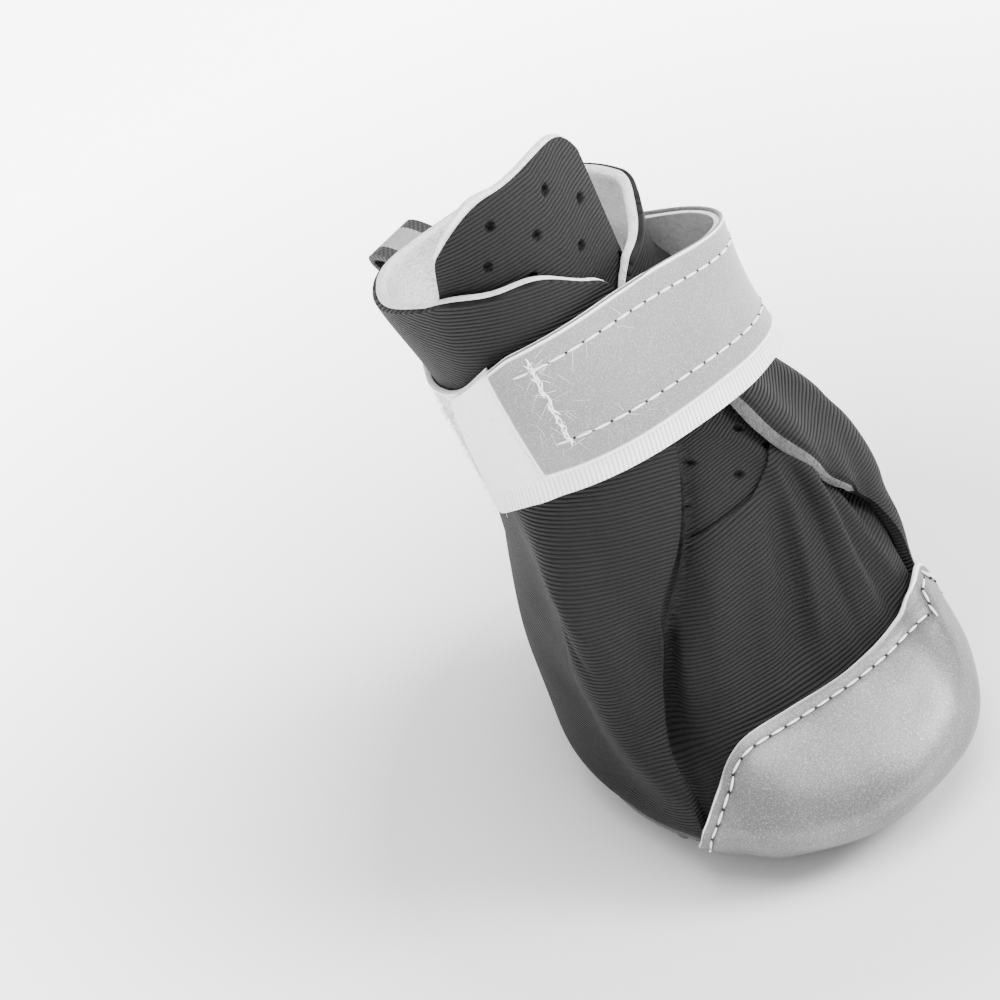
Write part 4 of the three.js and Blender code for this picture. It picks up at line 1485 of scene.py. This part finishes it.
# Sole.
soleStyle = {
    "columns": 150, "studHeight": 0.9, "studRadius": 1.35, "pitch": 3.4, "cell": 1.86, "ridge": 0.17,
    "insoleThickness": 2, "insoleColumns": 120, "studMargin": 1.7,
}
cupInset = (0.0, 0.08, 0.14, 0.32, 0.62, 1.0)
cupHeight = (1.25, 1.0, 0.93, 0.5, 0.14, 0.0)


def treadLift(x):
    run = soleForm["length"] / 2 - soleForm["springStart"]
    return soleForm["toeSpring"] * np.clip((x - soleForm["springStart"]) / run, 0, None) ** 2


def insetAt(x, y):
    low, high = np.zeros(x.shape), np.full(x.shape, soleForm["width"] / 2 - 0.01)
    for _ in range(40):
        middle = (low + high) / 2
        half = soleForm["length"] / 2 - middle
        reach = np.where(x > soleMiddle, half - soleMiddle, soleMiddle + half)
        power = soleForm["roundness"]
        across = np.abs(y) / (soleForm["width"] / 2 - middle)
        inside = (np.abs(x - soleMiddle) / reach) ** power + across**power < 1
        low, high = np.where(inside, middle, low), np.where(inside, high, middle)
    return low


def treadHeight(x, y):
    inset = insetAt(x, y) / soleForm["cupRun"]
    side = (soleForm["rimHeight"] - soleForm["lipHeight"]) * np.interp(inset, cupInset, cupHeight)
    return side + treadLift(x) * (1 - side / soleForm["rimHeight"]) + soleStyle["studHeight"] * 0.9


def makeOutsole():
    half, cup, rim = soleForm["width"] / 2, soleForm["cupRun"], soleForm["rimHeight"]
    insets = (*np.linspace(half - 0.5, cup, 14), *np.linspace(6.2, 1.0, 16))
    under = [(inset, treadHeight) for inset in insets]
    edge = [(0.45, 4.6), (0.15, 4.9), (0.0, 5.3), (0.05, 5.75), (0.3, rim), (2.1, rim), (2.4, rim - 0.2)]
    inside = [(3.6, 3.4), (4.3, 2.8), (5.0, 2.6), (28, 2.6)]
    thing = ringSolid("outsole", under + edge + inside, soleStyle["columns"], "rubber")
    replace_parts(thing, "outsole")


def makeStuds():
    pitch = soleStyle["pitch"]
    rows = []
    for j in range(-12, 13):
        for i in range(-16, 17):
            rows.append(((i + 0.5 * (j % 2)) * pitch, j * pitch * math.sqrt(3) / 2))
    x, y = np.array(rows).T
    half = soleForm["length"] / 2
    near = (np.abs(x) < half) & (np.abs(y) < soleForm["width"] / 2)
    x, y = x[near], y[near]
    kept = insetAt(x, y) > soleStyle["studMargin"]
    x, y = x[kept], y[kept]
    z = treadHeight(x, y)
    step = 0.3
    slopeX = (treadHeight(x + step, y) - treadHeight(x - step, y)) / (2 * step)
    slopeY = (treadHeight(x, y + step) - treadHeight(x, y - step)) / (2 * step)
    down = np.stack([slopeX, slopeY, -np.ones(len(x))], -1)
    down = down / np.linalg.norm(down, axis=-1, keepdims=True)
    along = np.cross(down, np.array([1.0, 0, 0]))
    along = along / np.linalg.norm(along, axis=-1, keepdims=True)
    points = pointCloud("studs", np.stack([x, y, z], -1), along, down)
    settings = {
        "Radius": soleStyle["studRadius"] * mm, "Height": soleStyle["studHeight"] * 0.9 * mm,
        "Cell": soleStyle["cell"] * mm, "Ridge": soleStyle["ridge"] * mm, "Finish": finishes["rubber"],
    }
    runRepeat("stud", points, settings)
    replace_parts(points, "outsole")


def makeInsole():
    bottom = soleForm["thickness"] + gap
    top = bottom + soleStyle["insoleThickness"]
    rows = [
        (29, bottom), (5.2, bottom), (4.9, bottom + 0.3), (4.7, top - 0.4), (5.0, top - 0.1), (6.0, top),
        (29, top),
    ]
    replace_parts(ringSolid("insole", rows, soleStyle["insoleColumns"], "felt"), "insole")


makeOutsole()
makeStuds()
makeInsole()
print("sole made")


# Count the triangles of the new meshes.
triangles = {}
for thing in scene.objects:
    if thing.type == "MESH" and thing.name not in frame["nodes"]:
        thing.data.calc_loop_triangles()
        triangles[thing.name] = len(thing.data.loop_triangles)
print("triangles", sum(triangles.values()), triangles)
